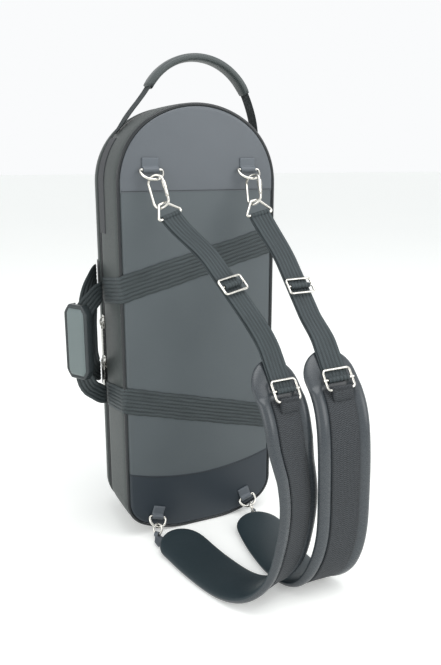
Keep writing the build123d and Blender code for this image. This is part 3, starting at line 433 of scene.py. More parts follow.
panel_leather = leather("panel_leatherette", paint(84, 91, 94), 0.0009, 0.00022, 0.46)
panel_cover = panel_skin("panel_cover", panel_foot, panel_head, 0.0, 0.003, 70, 0.0018)
clad(panel_cover, panel_leather, "leatherette", "shell", "back_panel")

yoke_sheet = (YOKE_THICKNESS, YOKE_THICKNESS + 0.0008, 30, 0.0013)
yoke_leather = leather("yoke_leather", paint(91, 96, 101), 0.0006, 0.0001, 0.4)
top_yoke_cover = panel_skin("top_yoke_cover", lambda x: TOP_YOKE_Z, panel_head, *yoke_sheet)
clad(top_yoke_cover, yoke_leather, "yoke_leather", "shell", "top_yoke")
# Painted shade: the foot yoke is the yoke leather again in a darker colour, so the foot of the back reads as
# shaded.
foot_yoke_leather_painted_shade = leather("foot_yoke_leather_painted_shade", paint(45, 53, 60), 0.0006, 0.0001, 0.4)
foot_yoke_cover = panel_skin("foot_yoke_cover", panel_foot, smile_z, *yoke_sheet)
clad(foot_yoke_cover, foot_yoke_leather_painted_shade, "yoke_leather", "shell", "bottom_yoke")


# --- Stitching ---
# Every seam is lockstitched in heavy dark thread: short raised capsules set end to end with a small
# gap, made by one tree that lays them along a seam line.
def capsule_mesh(length, radius):
    """Low stitch lying along X: a six-sided bar with tapered ends."""
    rings = [(-0.5, 0.35), (-0.36, 1.0), (0.36, 1.0), (0.5, 0.35)]
    loops = [
        [(length * a, radius * r * cos(k * pi / 3), radius * r * sin(k * pi / 3)) for k in range(6)]
        for a, r in rings
    ]
    return loops_mesh(loops)


stitch_tree = bpy.data.node_groups.new("stitch_seam", "GeometryNodeTree")
for label, kind, way in (
    ("Geometry", "NodeSocketGeometry", "INPUT"),
    ("Pitch", "NodeSocketFloat", "INPUT"),
    ("Stitch", "NodeSocketObject", "INPUT"),
    ("Thread", "NodeSocketMaterial", "INPUT"),
    ("Geometry", "NodeSocketGeometry", "OUTPUT"),
):
    stitch_tree.interface.new_socket(name=label, in_out=way, socket_type=kind)


step_node = stitch_tree.nodes.new
seam_in = step_node("NodeGroupInput")
seam_out = step_node("NodeGroupOutput")
to_curve = step_node("GeometryNodeMeshToCurve")
even = step_node("GeometryNodeResampleCurve")
even.mode = "LENGTH"
along = step_node("GeometryNodeInputTangent")
facing = step_node("FunctionNodeAlignEulerToVector")
facing.axis = "X"
thread_shape = step_node("GeometryNodeObjectInfo")
place_stitch = step_node("GeometryNodeInstanceOnPoints")
make_real = step_node("GeometryNodeRealizeInstances")
dye = step_node("GeometryNodeSetMaterial")
link_nodes(
    stitch_tree,
    (seam_in, "Geometry", to_curve, "Mesh"),
    (to_curve, "Curve", even, "Curve"),
    (seam_in, "Pitch", even, "Length"),
    (even, "Curve", place_stitch, "Points"),
    (along, "Tangent", facing, "Vector"),
    (facing, "Rotation", place_stitch, "Rotation"),
    (seam_in, "Stitch", thread_shape, "Object"),
    (thread_shape, "Geometry", place_stitch, "Instance"),
    (place_stitch, "Instances", make_real, "Geometry"),
    (make_real, "Geometry", dye, "Geometry"),
    (seam_in, "Thread", dye, "Material"),
    (dye, "Geometry", seam_out, "Geometry"),
)

thread = Finish("thread")
twist = thread.noise(3000.0, 1.0)
thread.set(
    Base_Color=thread.mix(twist, paint(20, 22, 24), paint(46, 49, 52)),
    Roughness=0.6,
    Normal=thread.bump(twist, 0.4, 0.0001),
)
stitch_shape = new_piece("stitch_shape", *capsule_mesh(0.0029, 0.00042))


def sew(name, lines, body, pitch=0.0036, shape=None, material=None):
    """Lay stitches along each line of points; the result is one plain mesh on the body."""
    verts, edges = [], []
    for line in lines:
        start = len(verts)
        verts += [tuple(map(float, p)) for p in line]
        edges += [(i, i + 1) for i in range(start, len(verts) - 1)]
    guide_mesh = bpy.data.meshes.new(name + "_guide")
    guide_mesh.from_pydata(verts, edges, [])
    guide = put(name + "_guide", guide_mesh)
    layer = guide.modifiers.new("seam", "NODES")
    layer.node_group = stitch_tree
    values = {"Pitch": pitch, "Stitch": shape or stitch_shape, "Thread": material or thread.material}
    for item in stitch_tree.interface.items_tree:
        if item.in_out == "INPUT" and item.name in values:
            layer[item.identifier] = values[item.name]
    made = baked(guide)
    made.name = name
    made.shade_smooth()
    bpy.data.objects.remove(guide)
    piece = put(name, made)
    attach(piece, body)
    return piece


def panel_line(points, lift):
    return [(x, panel_y(x, z) - lift, z) for x, z in points]


YOKE_SEAM_IN, YOKE_SEAM_LIFT = 0.0022, 0.001
seam_xs = [x / 1000 for x in range(-108, 109, 3)]
yoke_seams = [
    panel_line([(x, TOP_YOKE_Z + YOKE_SEAM_IN) for x in seam_xs], YOKE_SEAM_LIFT),
    panel_line([(x, smile_z(x) - YOKE_SEAM_IN) for x in seam_xs], YOKE_SEAM_LIFT),
]
sew("yoke_stitches", yoke_seams, "shell")

piping_ring = [
    (BACK_Y + PIPING_D / 2 * (1 - cos(a)), PIPING_D / 2 * (1 - sin(a)))
    for a in np.linspace(0, 2 * pi, 20, endpoint=False)
]
piping_cover = ring_piece("piping_cover", piping_ring)
# Painted shade: the piping is coloured near black so that it also stands for the dark shade line along its
# inner side, beside the panel.
piping = leather("piping_leather_dark_as_seam_shade", paint(40, 43, 45), 0.0005, 0.00008, 0.16)
clad(piping_cover, piping, "piping", "shell", "back_piping")


# --- Lid ---
# The lid is a moulded dome of the same leatherette: its wall leans in along a quarter ellipse and
# rolls over into a nearly flat front, so there is no hard edge anywhere on it.
LID_RIM_Y = PARTING_Y + 0.0002 + 0.006
FRONT_INSET = 0.034
WALL = 0.008


FRONT_OUT_Y, FRONT_IN_Y = FRONT_Y - 0.0012, FRONT_Y - 0.007
SPINE_LOW, SPINE_HIGH, FILL_RINGS, DOME_STEPS = 0.13, 0.46, 9, 22


def dome_loops(steps, rim, front_y):
    """Loops up a quarter ellipse, from the dome's rim to the edge of its front."""
    loops = []
    for step in steps:
        share = sin(step / DOME_STEPS * pi / 2)
        inset = rim + (FRONT_INSET - rim) * (1 - sqrt(max(0.0, 1 - share**2)))
        loops.append(outline_at(LID_RIM_Y + share * (front_y - LID_RIM_Y), inset))
    return loops


def front_fill(y, crown):
    """Loops that close the flat front towards its upright spine, slightly crowned."""
    loops = []
    for step in range(1, FILL_RINGS + 1):
        share = 1 - step / FILL_RINGS
        points = []
        for x, z in outline(FRONT_INSET):
            spine_z = min(max(z, SPINE_LOW), SPINE_HIGH)
            points.append((x * share, y + crown * (1 - share**2), spine_z + (z - spine_z) * share))
        loops.append(points)
    return loops


lid_loops = front_fill(FRONT_IN_Y, 0.0)[::-1] + dome_loops(range(DOME_STEPS, -1, -1), WALL, FRONT_IN_Y)
lid_loops += [outline_at(LID_RIM_Y, 0.0072), outline_at(LID_RIM_Y, 0.0012)]
lid_loops += [outline_at(LID_RIM_Y + 0.0006, 0.0003)] + dome_loops(range(1, DOME_STEPS + 1), 0, FRONT_OUT_Y)
lid_loops += front_fill(FRONT_OUT_Y, 0.0012)
lid_cover = new_piece("lid_cover", *loops_mesh(lid_loops, caps=False))
clad(lid_cover, wall_leather, "leatherette", "lid", "lid_shell")


# --- Bands and side carry handle ---
# Heavy webbing with raised lengthwise ribs is sewn flat across the back, turns round the piping on
# to the side and goes on as one half of the carry handle; the other half is sewn to the lid.
def unit(v):
    v = np.asarray(v, float)
    return v / np.linalg.norm(v)


def square(side, way):
    """Part of side that is at right angles to way."""
    side, way = np.asarray(side, float), unit(way)
    return unit(side - way * side.dot(way))


def key(place, side, way):
    """A cross frame of a strap: where it is, its width direction and its own direction."""
    return np.asarray(place, float), square(side, way), unit(way)


def ease(first, last, count):
    """Frames that run smoothly from one frame to another."""
    (p0, s0, t0), (p1, s1, t1) = first, last
    chord = np.linalg.norm(p1 - p0)
    frames = []
    for i in range(1, count + 1):
        u = i / (count + 1)
        place = (2 * u**3 - 3 * u**2 + 1) * p0 + (u**3 - 2 * u**2 + u) * chord * t0
        place = place + (3 * u**2 - 2 * u**3) * p1 + (u**3 - u**2) * chord * t1
        way = (6 * u**2 - 6 * u) * p0 + (3 * u**2 - 4 * u + 1) * chord * t0
        way = way + (6 * u - 6 * u**2) * p1 + (3 * u**2 - 2 * u) * chord * t1
        frames.append(key(place, s0 * (1 - u) + s1 * u, way))
    return frames


def chain(keys, counts):
    """Frames through every key frame, eased in between."""
    frames = []
    for first, last, count in zip(keys, keys[1:], counts):
        frames += [first] + ease(first, last, count)
    return frames + [keys[-1]]


POINTS_PER_RIB = 5


def ribbed_profile(width, thickness, ribs, depth):
    """Cross-section of webbing: rounded ribs on both faces, points (across, out)."""
    count = ribs * POINTS_PER_RIB
    top = []
    for i in range(count + 1):
        u = i / count
        rib = abs(sin(pi * ribs * u)) ** 0.6
        edge = min(1.0, min(u, 1 - u) * ribs * 1.6)
        top.append(((u - 0.5) * width, (thickness / 2 - depth + depth * rib) * (0.35 + 0.65 * edge)))
    return top + [(x, -y) for x, y in reversed(top)]


def map_weave(piece, uv_at):
    """Lay the weave map: uv_at turns a vertex number into metres across and along."""
    layer = piece.data.uv_layers.new(name="weave")
    for corner in piece.data.loops:
        layer.data[corner.index].uv = uv_at(corner.vertex_index)


def sweep(name, frames, profile, widths=None, lifts=None):
    """Closed strap along frames, with a UV map in metres: u across, v along."""
    loops, runs = [], [0.0]
    for index, (place, side, way) in enumerate(frames):
        out = np.cross(way, side)
        scale = 1.0 if widths is None else widths[index]
        lift = 0.0 if lifts is None else lifts[index]
        loops.append([place + side * x * scale + out * (y + lift) for x, y in profile])
        if index:
            runs.append(runs[-1] + np.linalg.norm(place - frames[index - 1][0]))
    size = len(profile)
    piece = new_piece(name, *loops_mesh(loops), merge=False)
    map_weave(piece, lambda i: (profile[i % size][0], runs[i // size]))
    return piece


def webbing_finish(name, width, ribs, dark, light):
    """Woven webbing: picks cross every rib, the valleys between ribs are painted dark as shade, uneven yarns,
    fuzz and a little dust.
    """
    cloth = Finish(name)
    weave = cloth.add("ShaderNodeUVMap", {"uv_map": "weave"})
    split = cloth.add("ShaderNodeSeparateXYZ", None, {"Vector": weave})
    across, length = split, split.out("Y")
    rib_height_and_valley_shade = ((across + width / 2) * (pi * ribs / width)).math("SINE").math("ABSOLUTE").math("POWER", 0.7)
    picks = ((length + across * 0.6) * (2 * pi / 0.0022)).math("SINE") * 0.5 + 0.5
    along = cloth.add("ShaderNodeCombineXYZ", None, {"X": across, "Y": length * 0.07})
    yarns = cloth.add("ShaderNodeTexNoise", None, {"Vector": along, "Scale": 460.0, "Detail": 2.0})
    fuzz = cloth.noise(900.0, 3.0)
    dust = cloth.noise(30.0, 4.0)
    # The rib term darkens the colour in the valleys between the ribs: painted shade. Picks, yarns and fuzz
    # are the cloth's own tone.
    lift = rib_height_and_valley_shade * 0.45 + picks * 0.22 + yarns * 0.7 + fuzz * 0.5 - 0.5
    cloth.set(
        Base_Color=cloth.mix(dust * 0.2, cloth.mix(lift, dark, light), tuple(c * 1.3 for c in light)),
        Roughness=fuzz * 0.3 + 0.5,
        Normal=cloth.bump(picks * 0.6 + fuzz * 0.9 + rib_height_and_valley_shade + yarns * 0.8, 0.7, 0.0005),
        Specular_IOR_Level=0.35,
    )
    return cloth.material


BAND_W, BAND_T = 0.036, 0.0016
BAND_MIDDLE_Z, BAND_SPREAD, BAND_SLOPE = 0.285, 0.1055, 14.3
BAND_DROP, BAND_WALL_RUN = 0.012, 0.077
LOOP_Y = 0.002
band_webbing = webbing_finish("band_webbing", BAND_W, 7, paint(20, 23, 24), paint(76, 84, 86))


def band_frames(sign):
    """Path of one band from the handle's root, round the left edge, across and on to the right side."""
    slope = radians(sign * BAND_SLOPE)
    middle, x, up = BAND_MIDDLE_Z + sign * BAND_SPREAD, SIDE_X + 0.001, (0, 0, 1)
    lean, way, turned = (-sin(slope), 0, cos(slope)), (cos(slope), 0, sin(slope)), (-sin(slope) / 2, 0, 1)
    edge_z, far_z = middle - SIDE_X * tan(slope), middle + SIDE_X * tan(slope)
    wall_way = (0, -1, BAND_DROP / BAND_WALL_RUN)
    keys = [
        key((-x, 0.006, edge_z - BAND_DROP), up, wall_way),
        key((-x, -0.058, edge_z - 0.002), up, wall_way),
        key((-x + 0.001, BACK_Y - 0.0002, edge_z), turned, (0.7, -0.7, 0.05)),
    ]
    for i in range(13):
        px = -0.105 + 0.21 * i / 12
        pz = middle + px * tan(slope)
        keys.append(key((px, panel_y(px, pz) - 0.001, pz), lean, way))
    keys.append(key((x - 0.001, BACK_Y - 0.0002, far_z), turned, (0.7, 0.7, 0.05)))
    keys += [key((x, -0.058, far_z), up, (0, 1, 0)), key((x, BACK_Y + 0.034, far_z), up, (0, 1, 0))]
    return chain(keys, [6, 3, 3] + [2] * 12 + [3, 3, 3])


band_profile = ribbed_profile(BAND_W, BAND_T, 7, 0.0007)
for node, sign in (("upper_band", 1), ("lower_band", -1)):
    frames = band_frames(sign)
    waver = [1 + 0.022 * sin(1.9 * i) + 0.018 * sin(0.53 * i + sign) for i in range(len(frames))]
    band = sweep(node + "_webbing", frames, band_profile, waver)
    clad(band, band_webbing, "webbing", "shell", node)

LOOP_W, LOOP_T = 0.026, 0.0024
LOOP_SEAT = 0.0016 + 0.0003 + 0.0022
FLAT_TOP_Z, FLAT_LOW_Z = 0.304, 0.268
SHELL_ROOT = (-SIDE_X - LOOP_SEAT, LOOP_Y)
SHELL_LOOP_TOP_Z, SHELL_LOOP_LOW_Z = 0.34919, 0.197
SHELL_LEAN, SHELL_REACH = 30.0, 0.045
LID_ROOT_Y = 0.036
LID_ROOT = (-0.117237, LID_ROOT_Y)
LID_LOOP_TOP_Z, LID_LOOP_LOW_Z = 0.37, 0.222
LID_LEAN, LID_REACH = 57.0, 0.046


def loop_frames(root, lean, reach, top_z, low_z):
    """The carry loop's path: out from its upper root, down the grip and back in."""
    out = np.array((-cos(radians(lean)), -sin(radians(lean)), 0.0))
    sideways = np.array((out[1], -out[0], 0.0))
    up = np.array((0.0, 0.0, 1.0))

    def at(distance, z):
        return np.array((root[0], root[1], z)) + out * distance

    keys = [
        key(at(0, top_z), up, out),
        key(at(reach * 0.5, top_z - 0.012), up + sideways * 0.35, out - up * 0.55),
        key(at(reach, FLAT_TOP_Z), sideways, -up),
        key(at(reach, FLAT_LOW_Z), sideways, -up),
        key(at(reach * 0.5, low_z + 0.012), -up + sideways * 0.35, -out - up * 0.55),
        key(at(0, low_z), -up, -out),
    ]
    return chain(keys, [8, 8, 3, 8, 8])


loop_profile = ribbed_profile(LOOP_W, LOOP_T, 5, 0.0007)
loop_webbing = webbing_finish("loop_webbing", LOOP_W, 5, paint(20, 23, 24), paint(70, 78, 80))
for node, body, numbers in (
    ("shell_loop", "carry_handle", (SHELL_ROOT, SHELL_LEAN, SHELL_REACH, SHELL_LOOP_TOP_Z, SHELL_LOOP_LOW_Z)),
    ("lid_loop", "lid_handle", (LID_ROOT, LID_LEAN, LID_REACH, LID_LOOP_TOP_Z, LID_LOOP_LOW_Z)),
):
    carry_loop = sweep(f"{node}_webbing", loop_frames(*numbers), loop_profile)
    clad(carry_loop, loop_webbing, "webbing", body, node)


# --- Top handle ---
# A leather grip folded over a cord core and stitched along its lower edge, on webbing that runs down
# inside both shoulders and is sewn to the side wall.
HANDLE_Y = -0.004
LEFT_ROOT = np.array((-0.093646, HANDLE_Y, 0.562))
RIGHT_ROOT = np.array((0.114467, HANDLE_Y, 0.522))


def circle_through(a, b, c):
    """Centre and radius of the circle through three points of a plane."""
    ax, az, bx, bz, cx, cz = *a, *b, *c
    d = 2 * (ax * (bz - cz) + bx * (cz - az) + cx * (az - bz))
    ux = ((ax**2 + az**2) * (bz - cz) + (bx**2 + bz**2) * (cz - az) + (cx**2 + cz**2) * (az - bz)) / d
    uz = ((ax**2 + az**2) * (cx - bx) + (bx**2 + bz**2) * (ax - cx) + (cx**2 + cz**2) * (bx - ax)) / d
    return (ux, uz), sqrt((ax - ux) ** 2 + (az - uz) ** 2)


GRIP_ENDS = ((-0.046, 0.623), (0.025, 0.664), (0.1, 0.619))
grip_centre, grip_radius = circle_through(*GRIP_ENDS)
grip_from = atan2(GRIP_ENDS[0][1] - grip_centre[1], GRIP_ENDS[0][0] - grip_centre[0])
grip_to = atan2(GRIP_ENDS[2][1] - grip_centre[1], GRIP_ENDS[2][0] - grip_centre[0])


def grip_frame(angle):
    place = (grip_centre[0] + grip_radius * cos(angle), HANDLE_Y, grip_centre[1] + grip_radius * sin(angle))
    return key(place, (0, 1, 0), (sin(angle), 0, -cos(angle)))


def oval(width, thickness):
    """Cross-section of the grip: an oval with full shoulders."""
    points = []
    for i in range(28):
        a = 2 * pi * i / 28
        x, y = (copysign(abs(v) ** 0.7, v) for v in (cos(a), sin(a)))
        points.append((width / 2 * x, thickness / 2 * y))
    return points


grip_frames = [grip_frame(grip_from + (grip_to - grip_from) * i / 60) for i in range(61)]
grip_widths = [min(1.0, 0.8 + 0.2 * sqrt(min(i, 60 - i) / 4)) for i in range(61)]
grip = sweep("top_handle_leather", grip_frames, oval(0.025, 0.0105), grip_widths)
grip_leather = leather("grip_leather", paint(70, 76, 76), 0.0006, 0.00012, 0.38)
clad(grip, grip_leather, "grip_leather", "top_handle", "top_handle_grip")

HANDLE_W, HANDLE_T, HANDLE_RIBS = 0.024, 0.0024, 6
handle_profile = ribbed_profile(HANDLE_W, HANDLE_T, HANDLE_RIBS, 0.0006)
handle_webbing = webbing_finish("handle_webbing", HANDLE_W, HANDLE_RIBS, paint(18, 20, 21), paint(64, 70, 71))
HANDLE_ENDS = (
    (LEFT_ROOT, unit((0.6, 0, 0.8)), grip_frames[0], 1, ["top_handle_strap"]),
    (RIGHT_ROOT, unit((0.08, 0, 1)), grip_frames[-1], -1, []),
)
for index, (root, way, near, flip, nodes) in enumerate(HANDLE_ENDS):
    gather = key(root + way * 0.026, (0, 1, 0), way)
    last = key(near[0] + near[2] * flip * 0.004, (0, 1, 0), near[2] * flip)
    frames = chain([key(root, (0, 1, 0), way), gather, last], [5, 14])
    widths = [min(1.0, 0.35 + 0.65 * i / 6) for i in range(len(frames))]
    end = sweep(f"top_handle_end_{index}", frames, handle_profile, widths)
    clad(end, handle_webbing, "webbing", "top_handle", *nodes)


# --- Straps ---
# Each strap starts as doubled ribbed webbing folded round a triangle ring, runs through a slide
# adjuster and ends round the cross bar of the wire loop that carries the pad.
LEFT_RING = (-0.06, -0.116, 0.4595)
RIGHT_RING = (0.066, -0.117, 0.458)
STRAP_W, STRAP_T = 0.03, 0.0034
GLIDE_RUN, LOOP_RUN, LOOP_OFFSET = 0.036, 0.046, 0.0037
STRAPS = {
    "left": {
        "glide": key((-0.0177, -0.2, 0.3793), (0.98, 0.2, 0), (0.3, -0.62, -0.72)),
        "loop": key((0.015, -0.274, 0.266), (0.95, 0.22, 0.05), (0.06, -0.55, -0.83)),
        "top": key(LEFT_RING, (1, 0.1, 0), (0.3796, -0.5127, -0.7701)),
    },
    "right": {
        "glide": key((0.0795, -0.196, 0.37), (0.99, 0.05, 0), (0.04, -0.66, -0.75)),
        "loop": key((0.083, -0.283, 0.273), (0.985, -0.1, 0), (0.0, -0.6, -0.8)),
        "top": key(RIGHT_RING, (1, -0.1, 0), (0.2, -0.55, -0.81)),
    },
}


def shifted(frame_at, distance):
    place, side, way = frame_at
    return place + way * distance, side, way


def fold(name, centre, side, out, radius, inner, width):
    """Webbing turned round a bar: a ribbed sleeve, open along the bar."""
    side, out = unit(side), unit(out)
    way = np.cross(side, out)
    profile = ribbed_profile(width, radius - inner, max(3, round(width / 0.0045)), 0.0004)
    middle, loops = (radius + inner) / 2, []
    for i in range(20):
        a = 2 * pi * i / 20
        ray = out * cos(a) + way * sin(a)
        loops.append([centre + side * x + ray * (middle + y) for x, y in profile])
    piece = new_piece(name, *loops_mesh(loops, closed_across=True))

    def on_sleeve(i):
        place = np.array(piece.data.vertices[i].co) - centre
        return place.dot(side), atan2(place.dot(way), place.dot(out)) * radius

    map_weave(piece, on_sleeve)
    return piece


def outward(frame_at):
    """Direction away from the case's back, square to a strap."""
    around = np.cross(frame_at[2], frame_at[1])
    return around if around[1] < 0 else -around


GLIDE_OFFSET, GLIDE_FOLD_R = 0.0055, 0.0035
FOLD_W, TAIL_T, TAIL_REACH = 0.028, 0.0016, 0.014
LAYER_T, LAYER_SHIFT = 0.0016, 0.0018
webbing_profile = ribbed_profile(STRAP_W, LAYER_T, 6, 0.0005)
strap_webbing = webbing_finish("strap_webbing", STRAP_W, 6, paint(18, 21, 22), paint(70, 79, 82))
for name, parts in STRAPS.items():
    top, glide, loop = parts["top"], parts["glide"], parts["loop"]
    keys = [top, shifted(glide, -GLIDE_RUN), shifted(glide, GLIDE_RUN), shifted(loop, -LOOP_RUN), loop]
    path = chain(keys, [26, 16, 16, 14])
    lift = (STRAP_T - LAYER_T) / 2
    webbing = sweep(f"{name}_strap_webbing", path, webbing_profile, lifts=[lift] * len(path))
    below = [(place - side * LAYER_SHIFT, side, way) for place, side, way in path]
    under = sweep(f"{name}_strap_under", below, webbing_profile, lifts=[-lift] * len(path))
    clad(webbing, strap_webbing, "webbing", f"{name}_strap", f"{name}_webbing")
    clad(under, strap_webbing, "webbing", f"{name}_strap")
    around = outward(glide)
    bar = glide[0] + around * GLIDE_OFFSET
    loop_bar = loop[0] + outward(loop) * LOOP_OFFSET
    for label, centre, side, out, radius, inner, body, nodes in (
        ("ring_fold", top[0], top[1], around, 0.0037, 0.0019, "strap", []),
        ("loop_fold", loop_bar, loop[1], outward(loop), 0.0036, 0.0017, "strap", []),
        ("glide_fold", bar, glide[1], around, GLIDE_FOLD_R, 0.0016, "glide", [f"{name}_glide_loop"]),
    ):
        sleeve = fold(f"{name}_{label}", centre, side, out, radius, inner, FOLD_W)
        clad(sleeve, strap_webbing, "webbing", f"{name}_{body}", *nodes)
    tail_start = (bar - around * (GLIDE_FOLD_R - TAIL_T / 2), glide[1], glide[2])
    run = [shifted(tail_start, TAIL_REACH * (0.1 * i - 1)) for i in range(11)]
    end = sweep(f"{name}_glide_tail", run, ribbed_profile(FOLD_W, TAIL_T, 6, 0.0005))
    clad(end, strap_webbing, "webbing", f"{name}_glide")


# --- Padded straps ---
# Long leather pads with half-round ends: two crowned borders swell between the edge and a sewn
# channel, which holds a woven strip.  The side against the back is smoother and darker.
PAD_W, PAD_T = 0.07, 0.01
LOOP_HALF_H, TAB_W = 0.0125, 0.026
STRIP_W, STRIP_T = 0.037, 0.002
STRIP_LOW, STRIP_HIGH, BORDER_FADE = 0.034, 0.052, 0.006
PAD_SEAT = LOOP_OFFSET - 0.0108
OUTER_RISE, INNER_RISE, CHANNEL_RISE, BORDER_RISE = 0.0054, 0.0052, 0.0029, 0.0033
SEAT_SHIFT, SEAT_RUN, TOP_RUN, TOP_LEAN = 0.003, 0.026, 0.042, 0.007
PAD_POINTS = {
    "left": [
        (-0.067, -0.1, 0.013), (-0.057, -0.125, 0.0083), (-0.05, -0.16, 0.0056),
        (-0.042, -0.205, 0.0056), (-0.03, -0.245, 0.0065), (-0.0155, -0.275, 0.017),
        (0.0035, -0.294, 0.042), (0.017, -0.3, 0.085), (0.0225, -0.3, 0.135),
        (0.0185, -0.298, 0.175), (0.0135, -0.294, 0.208),
    ],
    "right": [
        (0.072, -0.1, 0.013), (0.067, -0.125, 0.0083), (0.06, -0.16, 0.0056),
        (0.054, -0.205, 0.0056), (0.054, -0.247, 0.0065), (0.0615, -0.281, 0.015),
        (0.07, -0.304, 0.042), (0.0775, -0.312, 0.085), (0.078, -0.313, 0.13),
        (0.0765, -0.314, 0.165), (0.077, -0.31, 0.205),
    ],
}
PAD_SIDES = {
    "left": [(1, 0.05, 0), (1, 0.06, 0), (0.99, 0.12, 0), (0.98, 0.2, 0), (0.95, 0.3, 0), (0.93, 0.37, 0)]
    + [(0.93, 0.37, 0)] * 4
    + [(0.95, 0.22, 0.05)] * 4,
    "right": [(0.98, -0.2, 0), (0.98, -0.18, 0), (0.985, -0.1, 0), (0.99, 0, 0), (1, 0.1, 0), (1, 0, 0)]
    + [(0.985, -0.1, 0)] * 8,
}


class PadPath:
    """Smooth middle line of a pad, with its width direction at every point."""

    def __init__(self, points, sides):
        self.points = np.array(points, float)
        self.sides = np.array(sides, float)
        steps = np.linalg.norm(np.diff(self.points, axis=0), axis=1)
        self.marks = np.concatenate(([0.0], np.cumsum(steps)))
        count = len(points)
        system, bend = np.eye(count), np.zeros((count, 3))
        for i in range(1, count - 1):
            before, after = steps[i - 1], steps[i]
            system[i, i - 1 : i + 2] = before, 2 * (before + after), after
            slope_after = (self.points[i + 1] - self.points[i]) / after
            slope_before = (self.points[i] - self.points[i - 1]) / before
            bend[i] = 6 * (slope_after - slope_before)
        self.bends = np.linalg.solve(system, bend)
        self.length = self.marks[-1]

    def place(self, distance):
        i = int(min(max(np.searchsorted(self.marks, distance) - 1, 0), len(self.marks) - 2))
        span = self.marks[i + 1] - self.marks[i]
        b = (distance - self.marks[i]) / span
        a = 1 - b
        curve = (a**3 - a) * self.bends[i] + (b**3 - b) * self.bends[i + 1]
        return a * self.points[i] + b * self.points[i + 1] + curve * span**2 / 6, i, b

    def frame(self, distance):
        """Cross frame; np.cross(way, side) points to the inner side of the pad."""
        here, i, b = self.place(distance)
        way = self.place(distance + 0.0005)[0] - self.place(distance - 0.0005)[0]
        side = self.sides[i] * (1 - b) + self.sides[i + 1] * b
        return key(here, side, way)


def outer_height(u, s, length, half):
    """Height of the pad's outer face above its middle line, u from the centre line."""
    whole = OUTER_RISE * (1 - min(1.0, abs(u) / half) ** 3) ** 0.5
    rim = STRIP_W / 2 + 0.0008
    middle, reach = (rim + half) / 2, (half - rim) / 2
    hump = max(0.0, 1 - abs((abs(u) - middle) / reach) ** 2.2) ** 0.6
    inside = CHANNEL_RISE + BORDER_RISE * hump
    border = inside if abs(u) < middle else (CHANNEL_RISE + BORDER_RISE) * hump
    foot_share = max(0.0, (s - STRIP_LOW) / BORDER_FADE + 1)
    top_share = max(0.0, (length - STRIP_HIGH - s) / BORDER_FADE + 1)
    share = min(1.0, foot_share, top_share)
    share = share * share * (3 - 2 * share)
    return whole * (1 - share) + border * share


def inner_height(u, half):
    return INNER_RISE * (1 - min(1.0, abs(u) / half) ** 3) ** 0.5


def pad_half(s, length):
    """Half width of the pad, rounded off at both ends."""
    near = min(s, length - s)
    radius = PAD_W / 2
    return radius if near >= radius else sqrt(max(0.0, radius**2 - (radius - near) ** 2))


FLOOR_Z = 0.0003


def pad_body(name, path):
    """Closed body of a pad as loops across it, from foot to top, pressed flat where it lies down."""
    length, columns = path.length, 44
    stations = [PAD_W / 2 * (1 - cos(a * pi / 20)) for a in range(1, 10)]
    body = np.linspace(PAD_W / 2, length - PAD_W / 2, 120)
    stations = [0.0004] + stations + list(body) + [length - s for s in reversed(stations)] + [length - 0.0004]
    loops = []
    for s in stations:
        place, side, way = path.frame(s)
        inner = np.cross(way, side)
        half = max(pad_half(s, length), 0.0015)
        nose = min(1.0, (half / (PAD_W / 2)) ** 0.6)
        loop = []
        for i in range(columns + 1):
            u = -half * cos(pi * i / columns)
            loop.append(place + side * u - inner * max(outer_height(u, s, length, half) * nose, 0.0))
        for i in range(1, columns):
            u = half * cos(pi * i / columns)
            loop.append(place + side * u + inner * max(inner_height(u, half) * nose, 0.0))
        loops.append([(x, y, max(z, FLOOR_Z)) for x, y, z in loop])
    return new_piece(name, *loops_mesh(loops))


pad_outer = leather("pad_leather", paint(62, 67, 71), 0.0007, 0.00012, 0.25)
pad_inner = leather("pad_inner", paint(40, 52, 57), 0.0007, 0.00008, 0.45)


def line_back(pad, path):
    """Give the faces towards the wearer their darker lining."""
    samples = [path.frame(s) for s in np.linspace(0.002, path.length - 0.002, 160)]
    places = np.array([place for place, side, way in samples])
    inners = np.array([np.cross(way, side) for place, side, way in samples])
    pad.data.materials.append(pad_inner)
    for polygon in pad.data.polygons:
        centre = np.array(polygon.center)
        nearest = int(((places - centre) ** 2).sum(axis=1).argmin())
        if inners[nearest].dot(np.array(polygon.normal)) > 0.05:
            polygon.material_index = 1


twill = Finish("pad_strip_weave")
weave_uv = twill.add("ShaderNodeUVMap", {"uv_map": "weave"})
weave_xyz = twill.add("ShaderNodeSeparateXYZ", None, {"Vector": weave_uv})
weave_u, weave_v = weave_xyz, weave_xyz.out("Y")
chevron = ((weave_v + (weave_u * (2 * pi / 0.009)).math("SINE") * 0.0012) * (2 * pi / 0.0026)).math("SINE")
fine = (weave_u * (2 * pi / 0.0019)).math("SINE")
lint = twill.noise(620.0, 3.0)
cloth_height = chevron * 0.34 + fine * 0.2 + 0.5
strip_base = twill.mix(cloth_height * 0.75 + lint * 0.9 - 0.4, paint(22, 24, 26), paint(80, 84, 88))
twill.set(
    Base_Color=strip_base,
    Roughness=lint * 0.3 + 0.55,
    Normal=twill.bump(cloth_height + lint * 0.8, 0.7, 0.0005),
    Specular_IOR_Level=0.3,
)

